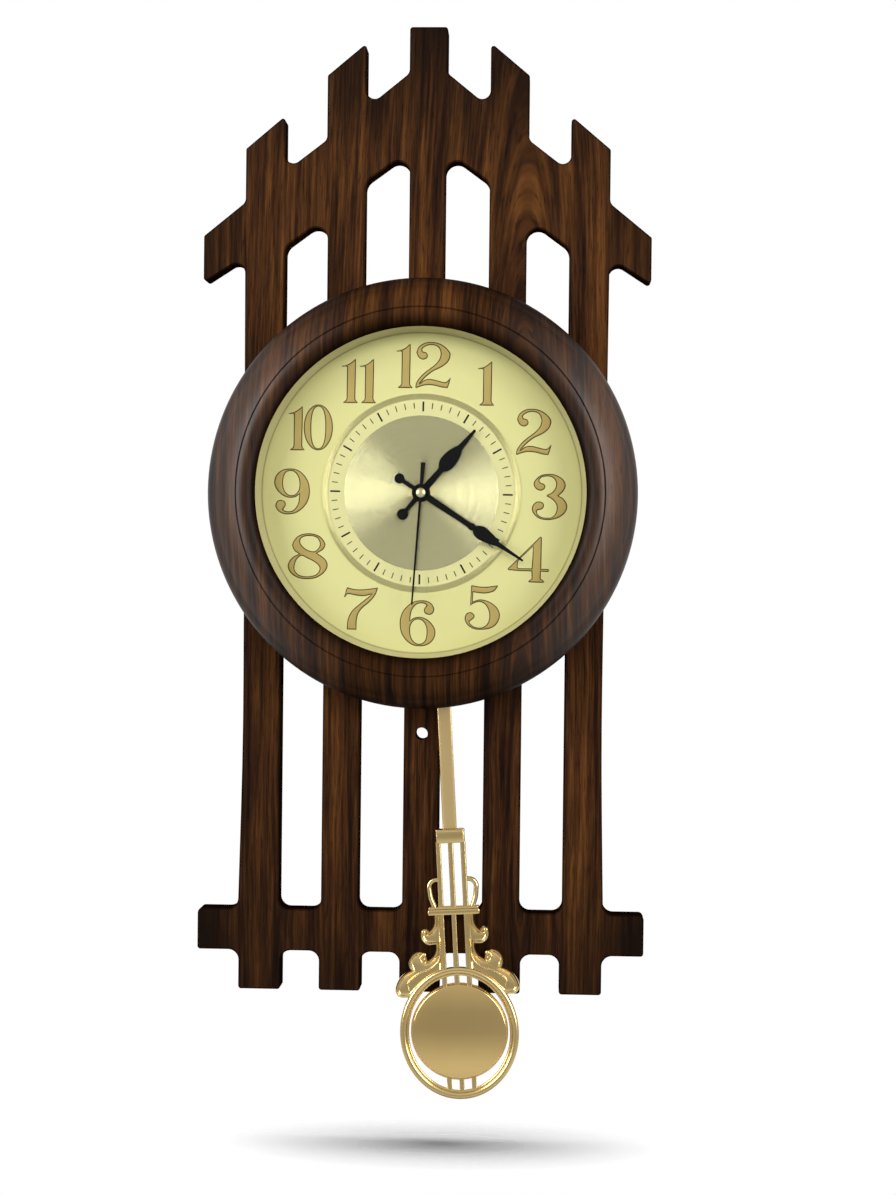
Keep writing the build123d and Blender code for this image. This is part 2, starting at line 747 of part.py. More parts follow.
# Battery and its two contacts.
BATTERY_R = 7.1
BATTERY_D = MOVEMENT_REAR + BATTERY_R + 0.2
BATTERY_LEFT = -25.0
BATTERY_LEN = 49.2
NUB_LEN = 1.2
with BuildPart() as battery:
    with BuildSketch(Plane(origin=(BATTERY_LEFT, -BATTERY_D, DIAL_Z + BAY_MID), z_dir=(1, 0, 0))):
        Circle(BATTERY_R)
    extrude(amount=BATTERY_LEN)
    with BuildSketch(Plane(origin=(BATTERY_LEFT + BATTERY_LEN, -BATTERY_D, DIAL_Z + BAY_MID), z_dir=(1, 0, 0))):
        Circle(2.7)
    extrude(amount=NUB_LEN)
save(battery, "battery")

with BuildPart() as contact_positive:
    with BuildSketch(front(MOVEMENT_REAR + 3.0, x=BAY_HALF - 0.45, z=BAY_MID)):
        Rectangle(0.8, 9.0)
    extrude(amount=9.0)
save(contact_positive, "contact_positive")

with BuildPart() as contact_negative:
    with BuildSketch(front(MOVEMENT_REAR + 4.3)):
        with BuildLine():
            Polyline(
                (-BAY_HALF + 0.05, BAY_MID - 5.5),
                (-BAY_HALF + 0.45, BAY_MID - 5.5),
                (-BATTERY_LEN / 2 - 0.5, BAY_MID),
                (-BAY_HALF + 0.45, BAY_MID + 5.5),
                (-BAY_HALF + 0.05, BAY_MID + 5.5),
                (-BATTERY_LEN / 2 - 0.95, BAY_MID),
                close=True,
            )
        make_face()
    extrude(amount=6.0)
save(contact_negative, "contact_negative")

# Electrics: circuit board, quartz crystal, motor coil, stator and pendulum drive coil.
with BuildPart() as circuit_board:
    with BuildSketch(front(PCB_REAR, *PCB_XZ)):
        Rectangle(16.0, 14.0)
    extrude(amount=PCB_T)
    with BuildSketch(front(PCB_REAR - 1.2, PCB_XZ[0] + 3.0, PCB_XZ[1] + 2.5)):
        Circle(2.6)
    extrude(amount=1.2)
save(circuit_board, "circuit_board")

with BuildPart() as quartz_crystal:
    with BuildSketch(Plane(origin=(PCB_XZ[0] - 6.0, -(PCB_REAR - 1.05), DIAL_Z + PCB_XZ[1] - 4.0), z_dir=(1, 0, 0))):
        Circle(1.0)
    extrude(amount=6.5)
save(quartz_crystal, "quartz_crystal")

COIL_Z = -25.0
STATOR_REAR = LAYER_INTER + 3.2
STATOR_T = 1.0
with BuildPart() as motor_stator:
    with BuildSketch(front(STATOR_REAR)):
        with Locations(ROTOR_XZ):
            Rectangle(11.0, 8.0)
        with Locations((17.0, -15.4)):
            Rectangle(16.0, 3.0)
        with Locations((23.8, -20.2)):
            Rectangle(2.4, 12.0)
        with Locations((13.0, COIL_Z)):
            Rectangle(24.0, 2.4)
        with Locations((2.2, -20.2)):
            Rectangle(2.4, 12.0)
        with Locations(ROTOR_XZ):
            Circle(3.4, mode=Mode.SUBTRACT)
    extrude(amount=STATOR_T)
save(motor_stator, "motor_stator")

with BuildPart() as motor_coil:
    with BuildSketch(Plane(origin=(5.5, -(STATOR_REAR + STATOR_T / 2), DIAL_Z + COIL_Z), z_dir=(1, 0, 0))):
        Circle(3.6)
        Rectangle(2.5, 2.5, mode=Mode.SUBTRACT)
    extrude(amount=15.5)
save(motor_coil, "motor_coil")

MAGNET_Z = PIVOT_UP - MAGNET_L
DRIVE_COIL_R = 6.8
DRIVE_COIL_BORE = 3.0
DRIVE_COIL_T = 4.0
with BuildPart() as pendulum_coil:
    with BuildSketch(front(CASE_REAR, PIVOT_X, MAGNET_Z)):
        Circle(DRIVE_COIL_R)
        Circle(DRIVE_COIL_BORE, mode=Mode.SUBTRACT)
    extrude(amount=DRIVE_COIL_T)
save(pendulum_coil, "pendulum_coil")

# Wheel train, front layer to rear layer.
HOUR_MODULE = 2 * MINUTE_DIST / (CANNON_TEETH + HOUR_TEETH)
MINUTE_MODULE = 2 * MINUTE_DIST / (CANNON_TEETH + MINUTE_TEETH)
CENTRE_MODULE = 2 * THIRD_DIST / (PINION + CENTRE_TEETH)
THIRD_MODULE = 2 * THIRD_DIST / (PINION + THIRD_TEETH)
SECONDS_MODULE = 2 * INTER_DIST / (PINION + SECONDS_TEETH)
INTER_MODULE = 2 * ROTOR_DIST / (PINION + INTER_TEETH)

with BuildPart() as hour_wheel:
    extrude(
        wheel_face(front(LAYER_HOUR), HOUR_TEETH, HOUR_MODULE, wheel_phase(MINUTE_DIR, HOUR_TEETH)),
        amount=WHEEL_T,
    )
    with BuildSketch(front(LAYER_HOUR)):
        Circle(HOUR_PIPE_R)
    extrude(amount=HOUR_HAND_D + HAND_T + 0.4 - LAYER_HOUR)
    with BuildSketch(front(LAYER_HOUR)):
        Circle(MINUTE_PIPE_R + FIT)
    extrude(amount=HOUR_HAND_D + HAND_T + 0.4 - LAYER_HOUR, mode=Mode.SUBTRACT)
save(hour_wheel, "hour_wheel")

with BuildPart() as cannon_pinion:
    extrude(
        wheel_face(front(LAYER_CANNON), CANNON_TEETH, MINUTE_MODULE, pinion_phase(MINUTE_DIR)),
        amount=WHEEL_T,
    )
    with BuildSketch(front(LAYER_CENTRE)):
        Circle(MINUTE_PIPE_R)
    extrude(amount=MINUTE_HAND_D + HAND_T + 0.4 - LAYER_CENTRE)
    with BuildSketch(front(LAYER_CENTRE)):
        Circle(SECONDS_R + FIT)
    extrude(amount=MINUTE_HAND_D + HAND_T + 0.4 - LAYER_CENTRE, mode=Mode.SUBTRACT)
save(cannon_pinion, "cannon_pinion")

with BuildPart() as centre_wheel:
    extrude(
        wheel_face(front(LAYER_CENTRE), CENTRE_TEETH, CENTRE_MODULE, wheel_phase(THIRD_DIR, CENTRE_TEETH)),
        amount=WHEEL_T,
    )
    with BuildSketch(front(LAYER_CENTRE)):
        Circle(MINUTE_PIPE_R + FIT)
    extrude(amount=WHEEL_T, mode=Mode.SUBTRACT)
save(centre_wheel, "centre_wheel")

with BuildPart() as third_wheel:
    extrude(
        wheel_face(front(LAYER_CENTRE, *THIRD_XZ), PINION, CENTRE_MODULE, pinion_phase(THIRD_DIR + 180)),
        amount=WHEEL_T,
    )
    extrude(
        wheel_face(
            front(LAYER_THIRD, *THIRD_XZ), THIRD_TEETH, THIRD_MODULE, wheel_phase(THIRD_DIR + 180, THIRD_TEETH)
        ),
        amount=WHEEL_T,
    )
    with BuildSketch(front(PIVOT_REAR, *THIRD_XZ)):
        Circle(ARBOR_R)
    extrude(amount=PIVOT_FRONT - PIVOT_REAR)
save(third_wheel, "third_wheel")

with BuildPart() as seconds_wheel:
    extrude(
        wheel_face(front(LAYER_THIRD), PINION, THIRD_MODULE, pinion_phase(THIRD_DIR)),
        amount=WHEEL_T,
    )
    extrude(
        wheel_face(front(LAYER_SECONDS), SECONDS_TEETH, SECONDS_MODULE, wheel_phase(INTER_DIR, SECONDS_TEETH)),
        amount=WHEEL_T,
    )
    with BuildSketch(front(PIVOT_REAR)):
        Circle(SECONDS_R)
    extrude(amount=SECOND_HAND_D + HAND_T - 0.1 - PIVOT_REAR)
save(seconds_wheel, "seconds_wheel")

with BuildPart() as intermediate_wheel:
    extrude(
        wheel_face(front(LAYER_SECONDS, *INTER_XZ), PINION, SECONDS_MODULE, pinion_phase(INTER_DIR + 180)),
        amount=WHEEL_T,
    )
    extrude(
        wheel_face(
            front(LAYER_INTER, *INTER_XZ), INTER_TEETH, INTER_MODULE, wheel_phase(ROTOR_DIR, INTER_TEETH)
        ),
        amount=WHEEL_T,
    )
    with BuildSketch(front(PIVOT_REAR, *INTER_XZ)):
        Circle(ARBOR_R)
    extrude(amount=PIVOT_FRONT - PIVOT_REAR)
save(intermediate_wheel, "intermediate_wheel")

with BuildPart() as rotor_pinion:
    extrude(
        wheel_face(front(LAYER_INTER, *ROTOR_XZ), PINION, INTER_MODULE, pinion_phase(ROTOR_DIR + 180)),
        amount=WHEEL_T,
    )
    with BuildSketch(front(PIVOT_REAR, *ROTOR_XZ)):
        Circle(ARBOR_R)
    extrude(amount=PIVOT_FRONT - PIVOT_REAR)
save(rotor_pinion, "rotor_pinion")

with BuildPart() as rotor_magnet:
    with BuildSketch(front(LAYER_INTER + 2.1, *ROTOR_XZ)):
        Circle(3.0)
        Circle(ARBOR_R + 0.02, mode=Mode.SUBTRACT)
    extrude(amount=3.2)
save(rotor_magnet, "rotor_magnet")

KNOB_REAR = BOARD_THICK + 1.0
KNOB_R = 5.5
with BuildPart() as minute_wheel:
    extrude(
        wheel_face(front(LAYER_HOUR, *MINUTE_XZ), CANNON_TEETH, HOUR_MODULE, pinion_phase(MINUTE_DIR + 180)),
        amount=WHEEL_T,
    )
    extrude(
        wheel_face(
            front(LAYER_CANNON, *MINUTE_XZ), MINUTE_TEETH, MINUTE_MODULE, wheel_phase(MINUTE_DIR + 180, MINUTE_TEETH)
        ),
        amount=WHEEL_T,
    )
    with BuildSketch(front(KNOB_REAR + 1.5, *MINUTE_XZ)):
        Circle(SET_ARBOR_R)
    extrude(amount=PIVOT_FRONT - KNOB_REAR - 1.5)
save(minute_wheel, "minute_wheel")

KNOB_FLUTES = 12
with BuildPart() as setting_knob:
    with BuildSketch(front(KNOB_REAR, *MINUTE_XZ)):
        Circle(KNOB_R)
        with PolarLocations(KNOB_R + 0.3, KNOB_FLUTES):
            Circle(0.7, mode=Mode.SUBTRACT)
    extrude(amount=5.5)
    with BuildSketch(front(KNOB_REAR + 1.5, *MINUTE_XZ)):
        Circle(SET_ARBOR_R + 0.02)
    extrude(amount=4.0, mode=Mode.SUBTRACT)
save(setting_knob, "setting_knob")

# Hands: pressed metal with ball tails.
with BuildPart() as hour_hand:
    with BuildSketch(hand_plane(HOUR_HAND_D, HOUR_ANGLE)):
        with BuildLine():
            Polyline((0, 48.8), (0.8, 48.1), (1.7, 35.0))
            ThreePointArc((1.7, 35.0), (3.9, 29.4), (4.5, 24.4))
            ThreePointArc((4.5, 24.4), (3.7, 20.4), (1.6, 17.8))
            Polyline((1.6, 17.8), (2.1, 5.0), (1.5, -4.0), (1.0, -16.0), (0, -16.0), (0, 48.8))
        make_face()
        mirror(about=Plane.YZ)
        Circle(5.4)
        with Locations((0, -16.5)):
            Circle(3.3)
        Circle(HOUR_PIPE_R + 0.02, mode=Mode.SUBTRACT)
    extrude(amount=HAND_T)
save(hour_hand, "hour_hand")

with BuildPart() as minute_hand:
    with BuildSketch(hand_plane(MINUTE_HAND_D, MINUTE_ANGLE)):
        with BuildLine():
            Polyline((0, 72.0), (0.6, 71.4), (1.4, 54.5))
            ThreePointArc((1.4, 54.5), (3.4, 47.6), (4.1, 42.6))
            ThreePointArc((4.1, 42.6), (3.2, 39.4), (1.5, 37.6))
            Polyline((1.5, 37.6), (2.4, 36.0), (1.5, 33.4), (2.0, 5.0), (1.3, -4.0), (1.0, -15.0), (0, -15.0), (0, 72.0))
        make_face()
        mirror(about=Plane.YZ)
        Circle(4.6)
        with Locations((0, -15.0)):
            Circle(3.0)
        Circle(MINUTE_PIPE_R + 0.02, mode=Mode.SUBTRACT)
    extrude(amount=HAND_T)
save(minute_hand, "minute_hand")

with BuildPart() as second_hand:
    with BuildSketch(hand_plane(SECOND_HAND_D, SECOND_ANGLE)):
        with BuildLine():
            Polyline((0, 65.6), (0.35, 65.6), (0.55, 0), (0.8, -4.0), (1.35, -17.7), (0, -17.7), (0, 65.6))
        make_face()
        mirror(about=Plane.YZ)
        Circle(2.6)
        Circle(SECONDS_R + 0.02, mode=Mode.SUBTRACT)
    extrude(amount=HAND_T)
    with BuildSketch(front(MINUTE_HAND_D + HAND_T + 0.7)):
        Circle(1.3)
        Circle(SECONDS_R + 0.02, mode=Mode.SUBTRACT)
    extrude(amount=SECOND_HAND_D - MINUTE_HAND_D - HAND_T - 0.7)
save(second_hand, "second_hand")

CAP_REAR = SECOND_HAND_D + HAND_T
CAP_EDGE = CAP_REAR + 0.5
CAP_DOME = CAP_REAR + 1.5
CAP_R = 3.2
with BuildPart() as second_cap:
    with BuildSketch(SECTION):
        with BuildLine():
            Polyline((0, CAP_REAR), (CAP_R, CAP_REAR), *dome_points(CAP_R, CAP_EDGE, CAP_DOME, 3), close=True)
        make_face()
    revolve(axis=DIAL_AXIS)
save(second_cap, "second_cap")

# Pendulum: pivot pin on the cover, plastic lever with its magnet, strip rod, cast lyre, domed bob.
PIN_HEAD_R = 3.0
PIN_HEAD_T = 1.0
PIN_REAR = LEVER_REAR - 0.6
with BuildPart() as pivot_pin:
    with BuildSketch(front(PIN_REAR, PIVOT_X, PIVOT_UP)):
        Circle(PIN_R)
    extrude(amount=CASE_REAR - PIN_REAR)
    with BuildSketch(front(PIN_REAR - PIN_HEAD_T, PIVOT_X, PIVOT_UP)):
        Circle(PIN_HEAD_R)
    extrude(amount=PIN_HEAD_T)
save(pivot_pin, "pivot_pin")

STUD_R = 1.25
STUD_OUT = 1.2
MAGNET_R = 4.0
MAGNET_WALL = 2.0
LEVER_W = 5.0
LEVER_FRONT = LEVER_REAR + LEVER_T
HOOK_REAR = ROD_REAR + ROD_T + 0.1
HOOK_TOP_L = MAGNET_L + MAGNET_R + 1.0
HOOK_END_L = HOOK_L + 3.0
with BuildPart() as pendulum_lever:
    with BuildSketch(swung(LEVER_REAR)):
        Circle(4.2)
        with Locations((0, -MAGNET_L / 2)):
            Rectangle(LEVER_W, MAGNET_L)
        with Locations((0, -MAGNET_L)):
            Circle(MAGNET_R + MAGNET_WALL)
        Circle(PIN_R + FIT, mode=Mode.SUBTRACT)
        with Locations((0, -MAGNET_L)):
            Circle(MAGNET_R + FIT, mode=Mode.SUBTRACT)
    extrude(amount=LEVER_T)
    with BuildSketch(swung(HOOK_REAR)):
        with Locations((0, -(HOOK_TOP_L + HOOK_END_L) / 2)):
            Rectangle(LEVER_W, HOOK_END_L - HOOK_TOP_L)
    extrude(amount=LEVER_FRONT - HOOK_REAR)
    with BuildSketch(swung(ROD_REAR - STUD_OUT)):
        with Locations((0, -HOOK_L)):
            Circle(STUD_R)
    extrude(amount=HOOK_REAR - ROD_REAR + STUD_OUT)
save(pendulum_lever, "pendulum_lever")

with BuildPart() as drive_magnet:
    with BuildSketch(swung(LEVER_REAR + 0.2)):
        with Locations((0, -MAGNET_L)):
            Circle(MAGNET_R)
    extrude(amount=LEVER_T - 0.4)
save(drive_magnet, "drive_magnet")

ROD_TOP_L = HOOK_L - 4.0
ROD_END_L = CAP_TOP_L + ROD_ENTRY
with BuildPart() as pendulum_rod:
    with BuildSketch(swung(ROD_REAR)):
        with Locations((0, -(ROD_TOP_L + ROD_END_L) / 2)):
            Rectangle(ROD_W, ROD_END_L - ROD_TOP_L)
        with Locations((0, -HOOK_L)):
            Circle(STUD_R + FIT, mode=Mode.SUBTRACT)
    extrude(amount=ROD_T)
save(pendulum_rod, "pendulum_rod")

PLATE_BEYOND_BOB = 0.8
BACK_PLATE_R = BOB_R + PLATE_BEYOND_BOB
BACK_PLATE_T = 1.4
SCROLL_T = 3.6
SCROLL_REAR = LYRE_MID - SCROLL_T / 2
LOOP_STROKE = 3.0
IN_WIRE = 0.4
SPOKE_W = 2.4
BEAD_STEP = 1.3
BAR_SUNK = 0.3
with BuildPart() as lyre_frame:
    with BuildSketch(swung(LYRE_REAR)):
        with Locations((0, -OVAL_L)):
            Ellipse(OVAL_X, OVAL_Y)
            Ellipse(OVAL_X - OVAL_BAND, OVAL_Y - OVAL_BAND, mode=Mode.SUBTRACT)
    extrude(amount=LYRE_T - BEAD_STEP)
    with BuildSketch(swung(LYRE_REAR)):
        with Locations((0, -OVAL_L)):
            Ellipse(OVAL_X - BEAD_STEP, OVAL_Y - BEAD_STEP)
            Ellipse(OVAL_X - OVAL_BAND + BEAD_STEP, OVAL_Y - OVAL_BAND + BEAD_STEP, mode=Mode.SUBTRACT)
    extrude(amount=LYRE_T)
    with BuildSketch(swung(LYRE_REAR)):
        with Locations((0, -BOB_L)):
            Circle(BACK_PLATE_R)
    extrude(amount=BACK_PLATE_T)
    with BuildSketch(swung(LYRE_REAR)):
        spoke_mid = (OVAL_Y + BOB_R) / 2
        for side in (-WIRE_PITCH, 0, WIRE_PITCH):
            with Locations((side, spoke_mid - OVAL_L), (side, -spoke_mid - OVAL_L)):
                Rectangle(SPOKE_W, OVAL_Y - BOB_R)
        with Locations((0, -BOB_L)):
            Circle(BOB_R + 0.1, mode=Mode.SUBTRACT)
    extrude(amount=LYRE_T - 2 * BAR_SUNK)
    with BuildSketch(swung(LYRE_REAR + BAR_SUNK)):
        with Locations((0, -CAP_TOP_L - CAP_H / 2)):
            RectangleRounded(2 * CAP_HALF, CAP_H, CAP_ROUND)
        with Locations((0, -CROSS_TOP_L - CROSS_H / 2)):
            RectangleRounded(2 * CROSS_HALF, CROSS_H, CROSS_ROUND)
    extrude(amount=LYRE_T - 2 * BAR_SUNK)
    with BuildSketch(swung(SCROLL_REAR)):
        with BuildLine(mode=Mode.PRIVATE) as loop_line:
            loop_top = ThreePointArc(over_cross(WIRE_PITCH, 15.4), over_cross(12.4, 15.0), over_cross(14.1, 10.4))
            ThreePointArc(loop_top @ 1, over_cross(13.4, 5.0), over_cross(11.4, -0.6))
        trace(loop_line.edges(), line_width=LOOP_STROKE)
        with BuildLine(mode=Mode.PRIVATE) as scroll_line:
            stem_top = Line(under_cross(WIRE_PITCH - IN_WIRE, -0.8), under_cross(12.15, -0.8))
            stem = Line(stem_top @ 1, under_cross(12.15, 2.4))
            bay = ThreePointArc(stem @ 1, under_cross(13.1, 6.6), under_cross(15.3, 9.0))
            knob = ThreePointArc(bay @ 1, under_cross(18.0, 7.1), under_cross(20.7, 9.8))
            bowl = ThreePointArc(knob @ 1, under_cross(19.9, 15.2), under_cross(15.4, 18.1))
            waist = Line(bowl @ 1, over_oval(11.9, 13.2))
            hollow = ThreePointArc(waist @ 1, over_oval(13.0, 7.9), over_oval(16.9, 4.3))
            curl = ThreePointArc(hollow @ 1, over_oval(18.3, 8.4), over_oval(22.5, 10.2))
            lobe = ThreePointArc(curl @ 1, over_oval(27.7, 6.1), over_oval(27.5, -1.1))
            leaf = ThreePointArc(lobe @ 1, over_oval(33.8, -5.2), over_oval(37.0, -11.6))
            tip = ThreePointArc(leaf @ 1, over_oval(36.0, -16.2), over_oval(32.2, -17.7))
            foot = Line(tip @ 1, over_oval(27.4, -17.6))
            rim = ThreePointArc(foot @ 1, over_oval(17.6, -8.8), over_oval(WIRE_PITCH - IN_WIRE, -3.4))
            Line(rim @ 1, stem_top @ 0)
        make_face(scroll_line.edges())
        mirror(about=Plane.YZ)
    extrude(amount=SCROLL_T)
    with BuildSketch(
        Plane(origin=swung(LYRE_MID).from_local_coords((0, -CAP_LOW_L + 1.0)), z_dir=-swung(LYRE_MID).y_dir)
    ):
        with Locations((-WIRE_PITCH, 0), (0, 0), (WIRE_PITCH, 0)):
            Circle(WIRE_R)
    extrude(amount=OVAL_TOP_L - CAP_LOW_L + 3.0)
    with BuildSketch(swung(ROD_REAR - FIT)):
        with Locations((0, -(CAP_TOP_L + ROD_END_L) / 2)):
            Rectangle(ROD_W + 2 * FIT, ROD_END_L - CAP_TOP_L + 2 * FIT)
    extrude(amount=ROD_T + 2 * FIT, mode=Mode.SUBTRACT)
save(lyre_frame, "lyre_frame")

BOB_REAR = LYRE_REAR + BACK_PLATE_T
BOB_EDGE = BOB_REAR + 2.0
BOB_DOME = BOB_EDGE + 4.2
LEAN = math.radians(SWING)
BOB_POINT = (PIVOT_X + BOB_L * math.sin(LEAN), 0, DIAL_Z + PIVOT_UP - BOB_L * math.cos(LEAN))
with BuildPart() as bob_disc:
    with BuildSketch(Plane(origin=BOB_POINT, x_dir=(1, 0, 0), z_dir=(0, 0, -1))):
        with BuildLine():
            Polyline((0, BOB_REAR), (BOB_R, BOB_REAR), *dome_points(BOB_R, BOB_EDGE, BOB_DOME, 5), close=True)
        make_face()
    revolve(axis=Axis(BOB_POINT, (0, 1, 0)))
save(bob_disc, "bob_disc")
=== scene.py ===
# %% [markdown]
# # A pendulum wall clock, dressed
#
# The solids of this clock come packed as a fixed frame: a dark walnut board cut into slats, a round
# turned case with a numbered dial, a battery movement and a lyre pendulum. This lesson keeps their
# sizes and places, and adds what a workshop would add last: veneer, lacquer, gilding, print and polish.

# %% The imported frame
import math

import bmesh
import bpy
from mathutils import Matrix, Vector
from mathutils.geometry import delaunay_2d_cdt


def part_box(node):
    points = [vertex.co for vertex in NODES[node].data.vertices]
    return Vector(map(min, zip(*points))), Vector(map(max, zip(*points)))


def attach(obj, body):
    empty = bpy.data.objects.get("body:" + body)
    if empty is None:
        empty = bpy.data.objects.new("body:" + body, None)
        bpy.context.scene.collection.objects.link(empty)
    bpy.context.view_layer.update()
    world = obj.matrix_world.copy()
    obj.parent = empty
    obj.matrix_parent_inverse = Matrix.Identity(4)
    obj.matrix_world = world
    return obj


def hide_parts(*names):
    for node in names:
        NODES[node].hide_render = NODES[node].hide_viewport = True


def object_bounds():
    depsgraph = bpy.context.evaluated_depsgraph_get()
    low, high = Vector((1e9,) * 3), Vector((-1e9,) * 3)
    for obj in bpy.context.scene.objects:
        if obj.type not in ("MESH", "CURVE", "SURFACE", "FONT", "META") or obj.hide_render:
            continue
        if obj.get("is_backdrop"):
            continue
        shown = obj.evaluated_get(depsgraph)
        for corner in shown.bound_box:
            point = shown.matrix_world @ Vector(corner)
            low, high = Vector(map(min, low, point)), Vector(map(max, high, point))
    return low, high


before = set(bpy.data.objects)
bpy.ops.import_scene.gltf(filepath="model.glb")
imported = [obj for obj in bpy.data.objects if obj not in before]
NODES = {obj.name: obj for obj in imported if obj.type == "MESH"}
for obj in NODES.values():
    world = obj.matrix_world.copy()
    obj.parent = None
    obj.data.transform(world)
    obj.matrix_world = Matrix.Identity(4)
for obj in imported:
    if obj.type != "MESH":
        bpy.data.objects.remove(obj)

MM = 0.001
CAD_LOW, CAD_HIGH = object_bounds()
scene = bpy.context.scene
scene.view_settings.view_transform = "Standard"


def middle(node):
    """Centre of a CAD node's box."""
    low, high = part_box(node)
    return (Vector(low) + Vector(high)) / 2


def face_of(node):
    """How far forward a CAD node reaches; the clock faces -Y."""
    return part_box(node)[0][1]


def back_of(node):
    """Where a CAD node ends towards the wall."""
    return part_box(node)[1][1]


def half_width(node):
    """Half the width of a CAD node's box."""
    low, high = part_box(node)
    return (high[0] - low[0]) / 2


DIAL = middle("dial_plate")
print("dial centre", [round(value, 4) for value in DIAL], "nodes", len(NODES))

# %% [markdown]
# ## Writing shaders as sums
#
# A finish is a small graph of nodes. Placing them by hand is slow to read, so one class wraps a
# socket: adding or multiplying two of them adds the Math node that does it. A second class owns
# the material and makes any other node in one call: its type, its settings, then its sockets.

# %% Sockets that can be added and multiplied


def plug(tree, socket, value):
    """Link a wrapped socket, or set a plain value."""
    if isinstance(value, Flow):
        tree.links.new(value.socket, socket)
    else:
        socket.default_value = value


def maths(operation, swapped=False):
    """A method of a wrapped socket that adds one Math node."""

    def method(self, *others):
        node = self.tree.nodes.new("ShaderNodeMath")
        node.operation = operation
        values = (*others, self) if swapped else (self, *others)
        for socket, value in zip(node.inputs, values):
            plug(self.tree, socket, value)
        return Flow(self.tree, node.outputs[0])

    return method


class Flow:
    """A socket of a node tree that takes part in arithmetic."""

    def __init__(self, tree, socket):
        self.tree = tree
        self.socket = socket

    __add__ = __radd__ = maths("ADD")
    __sub__ = maths("SUBTRACT")
    __rsub__ = maths("SUBTRACT", swapped=True)
    __mul__ = __rmul__ = maths("MULTIPLY")
    __truediv__ = maths("DIVIDE")
    __rtruediv__ = maths("DIVIDE", swapped=True)
    __mod__ = maths("MODULO")
    __gt__ = maths("GREATER_THAN")
    __pow__ = maths("POWER")
    __abs__ = maths("ABSOLUTE")
    sine = maths("SINE")
    least = maths("MINIMUM")
    most = maths("MAXIMUM")

    def over(self, low, high):
        """0 below low, 1 above high, an even rise between."""
        return ((self - low) / (high - low)).most(0.0).least(1.0)


def paint(red, green, blue):
    """A colour read off a screen, 0 to 255, as the linear value that a shader takes."""
    linear = []
    for level in (red, green, blue):
        share = level / 255
        linear.append(share / 12.92 if share <= 0.04045 else ((share + 0.055) / 1.055) ** 2.4)
    return (*linear, 1.0)


print("a mid grey is written", [round(level, 3) for level in paint(128, 128, 128)[:3]])

# %% One material and its nodes

GRIT_DEEP = 0.0002


class Finish:
    """One material, with a single shader and the nodes that feed it."""

    def __init__(self, name, **constants):
        self.material = bpy.data.materials.new(name)
        self.material.use_nodes = True
        self.tree = self.material.node_tree
        self.tree.nodes.clear()
        self.out = self.tree.nodes.new("ShaderNodeOutputMaterial")
        self.shader = self.tree.nodes.new("ShaderNodeBsdfPrincipled")
        self.tree.links.new(self.shader.outputs[0], self.out.inputs[0])
        for socket, value in constants.items():
            self.shader.inputs[socket.replace("_", " ")].default_value = value

    def node(self, kind, output, settings=None, sockets=None):
        """Any node: type, wanted output, settings first, then values or links of its sockets."""
        node = self.tree.nodes.new(kind)
        for key, value in (settings or {}).items():
            if key == "stops":
                ramp = node.color_ramp.elements
                while len(ramp) < len(value):
                    ramp.new(1.0)
                for element, (place, colour) in zip(ramp, value):
                    element.position = place
                    element.color = colour
            else:
                setattr(node, key, value)
        for key, value in (sockets or {}).items():
            plug(self.tree, node.inputs[key], value)
        return Flow(self.tree, node.outputs[output])

    def set(self, **sockets):
        """Feed the shader's own sockets, and hand the material back."""
        for socket, value in sockets.items():
            plug(self.tree, self.shader.inputs[socket.replace("_", " ")], value)
        return self.material

    def where(self):
        return self.node("ShaderNodeTexCoord", "Object")

    def place(self):
        """Object coordinates as x, y and z."""
        parts = self.tree.nodes.new("ShaderNodeSeparateXYZ")
        plug(self.tree, parts.inputs[0], self.where())
        return [Flow(self.tree, socket) for socket in parts.outputs]

    def vector(self, x, y, z):
        return self.node("ShaderNodeCombineXYZ", 0, sockets={0: x, 1: y, 2: z})

    def noise(self, vector, scale, detail=3.0, rough=0.55, distort=0.0):
        sockets = {"Vector": vector, "Scale": scale, "Detail": detail, "Roughness": rough}
        return self.node("ShaderNodeTexNoise", 0, sockets={**sockets, "Distortion": distort})

    def ramp(self, factor, *stops):
        return self.node("ShaderNodeValToRGB", "Color", {"stops": stops}, {0: factor})

    def blend(self, factor, first, second):
        """Colour mix."""
        return self.node("ShaderNodeMix", 2, {"data_type": "RGBA"}, {0: factor, 6: first, 7: second})

    def bump(self, height, strength, distance):
        sockets = {"Strength": strength, "Distance": distance, "Height": height}
        return self.node("ShaderNodeBump", 0, sockets=sockets)

    def toned(self, tone, dark, light, fine, rough, spread, strength, depth=GRIT_DEEP, **more):
        """One value goes from tone to tone, and a finer one sets roughness and bump."""
        return self.set(
            Base_Color=self.blend(tone, dark, light),
            Roughness=rough + fine * spread,
            Normal=self.bump(fine, strength, depth),
            **more,
        )


print("one class makes each material")
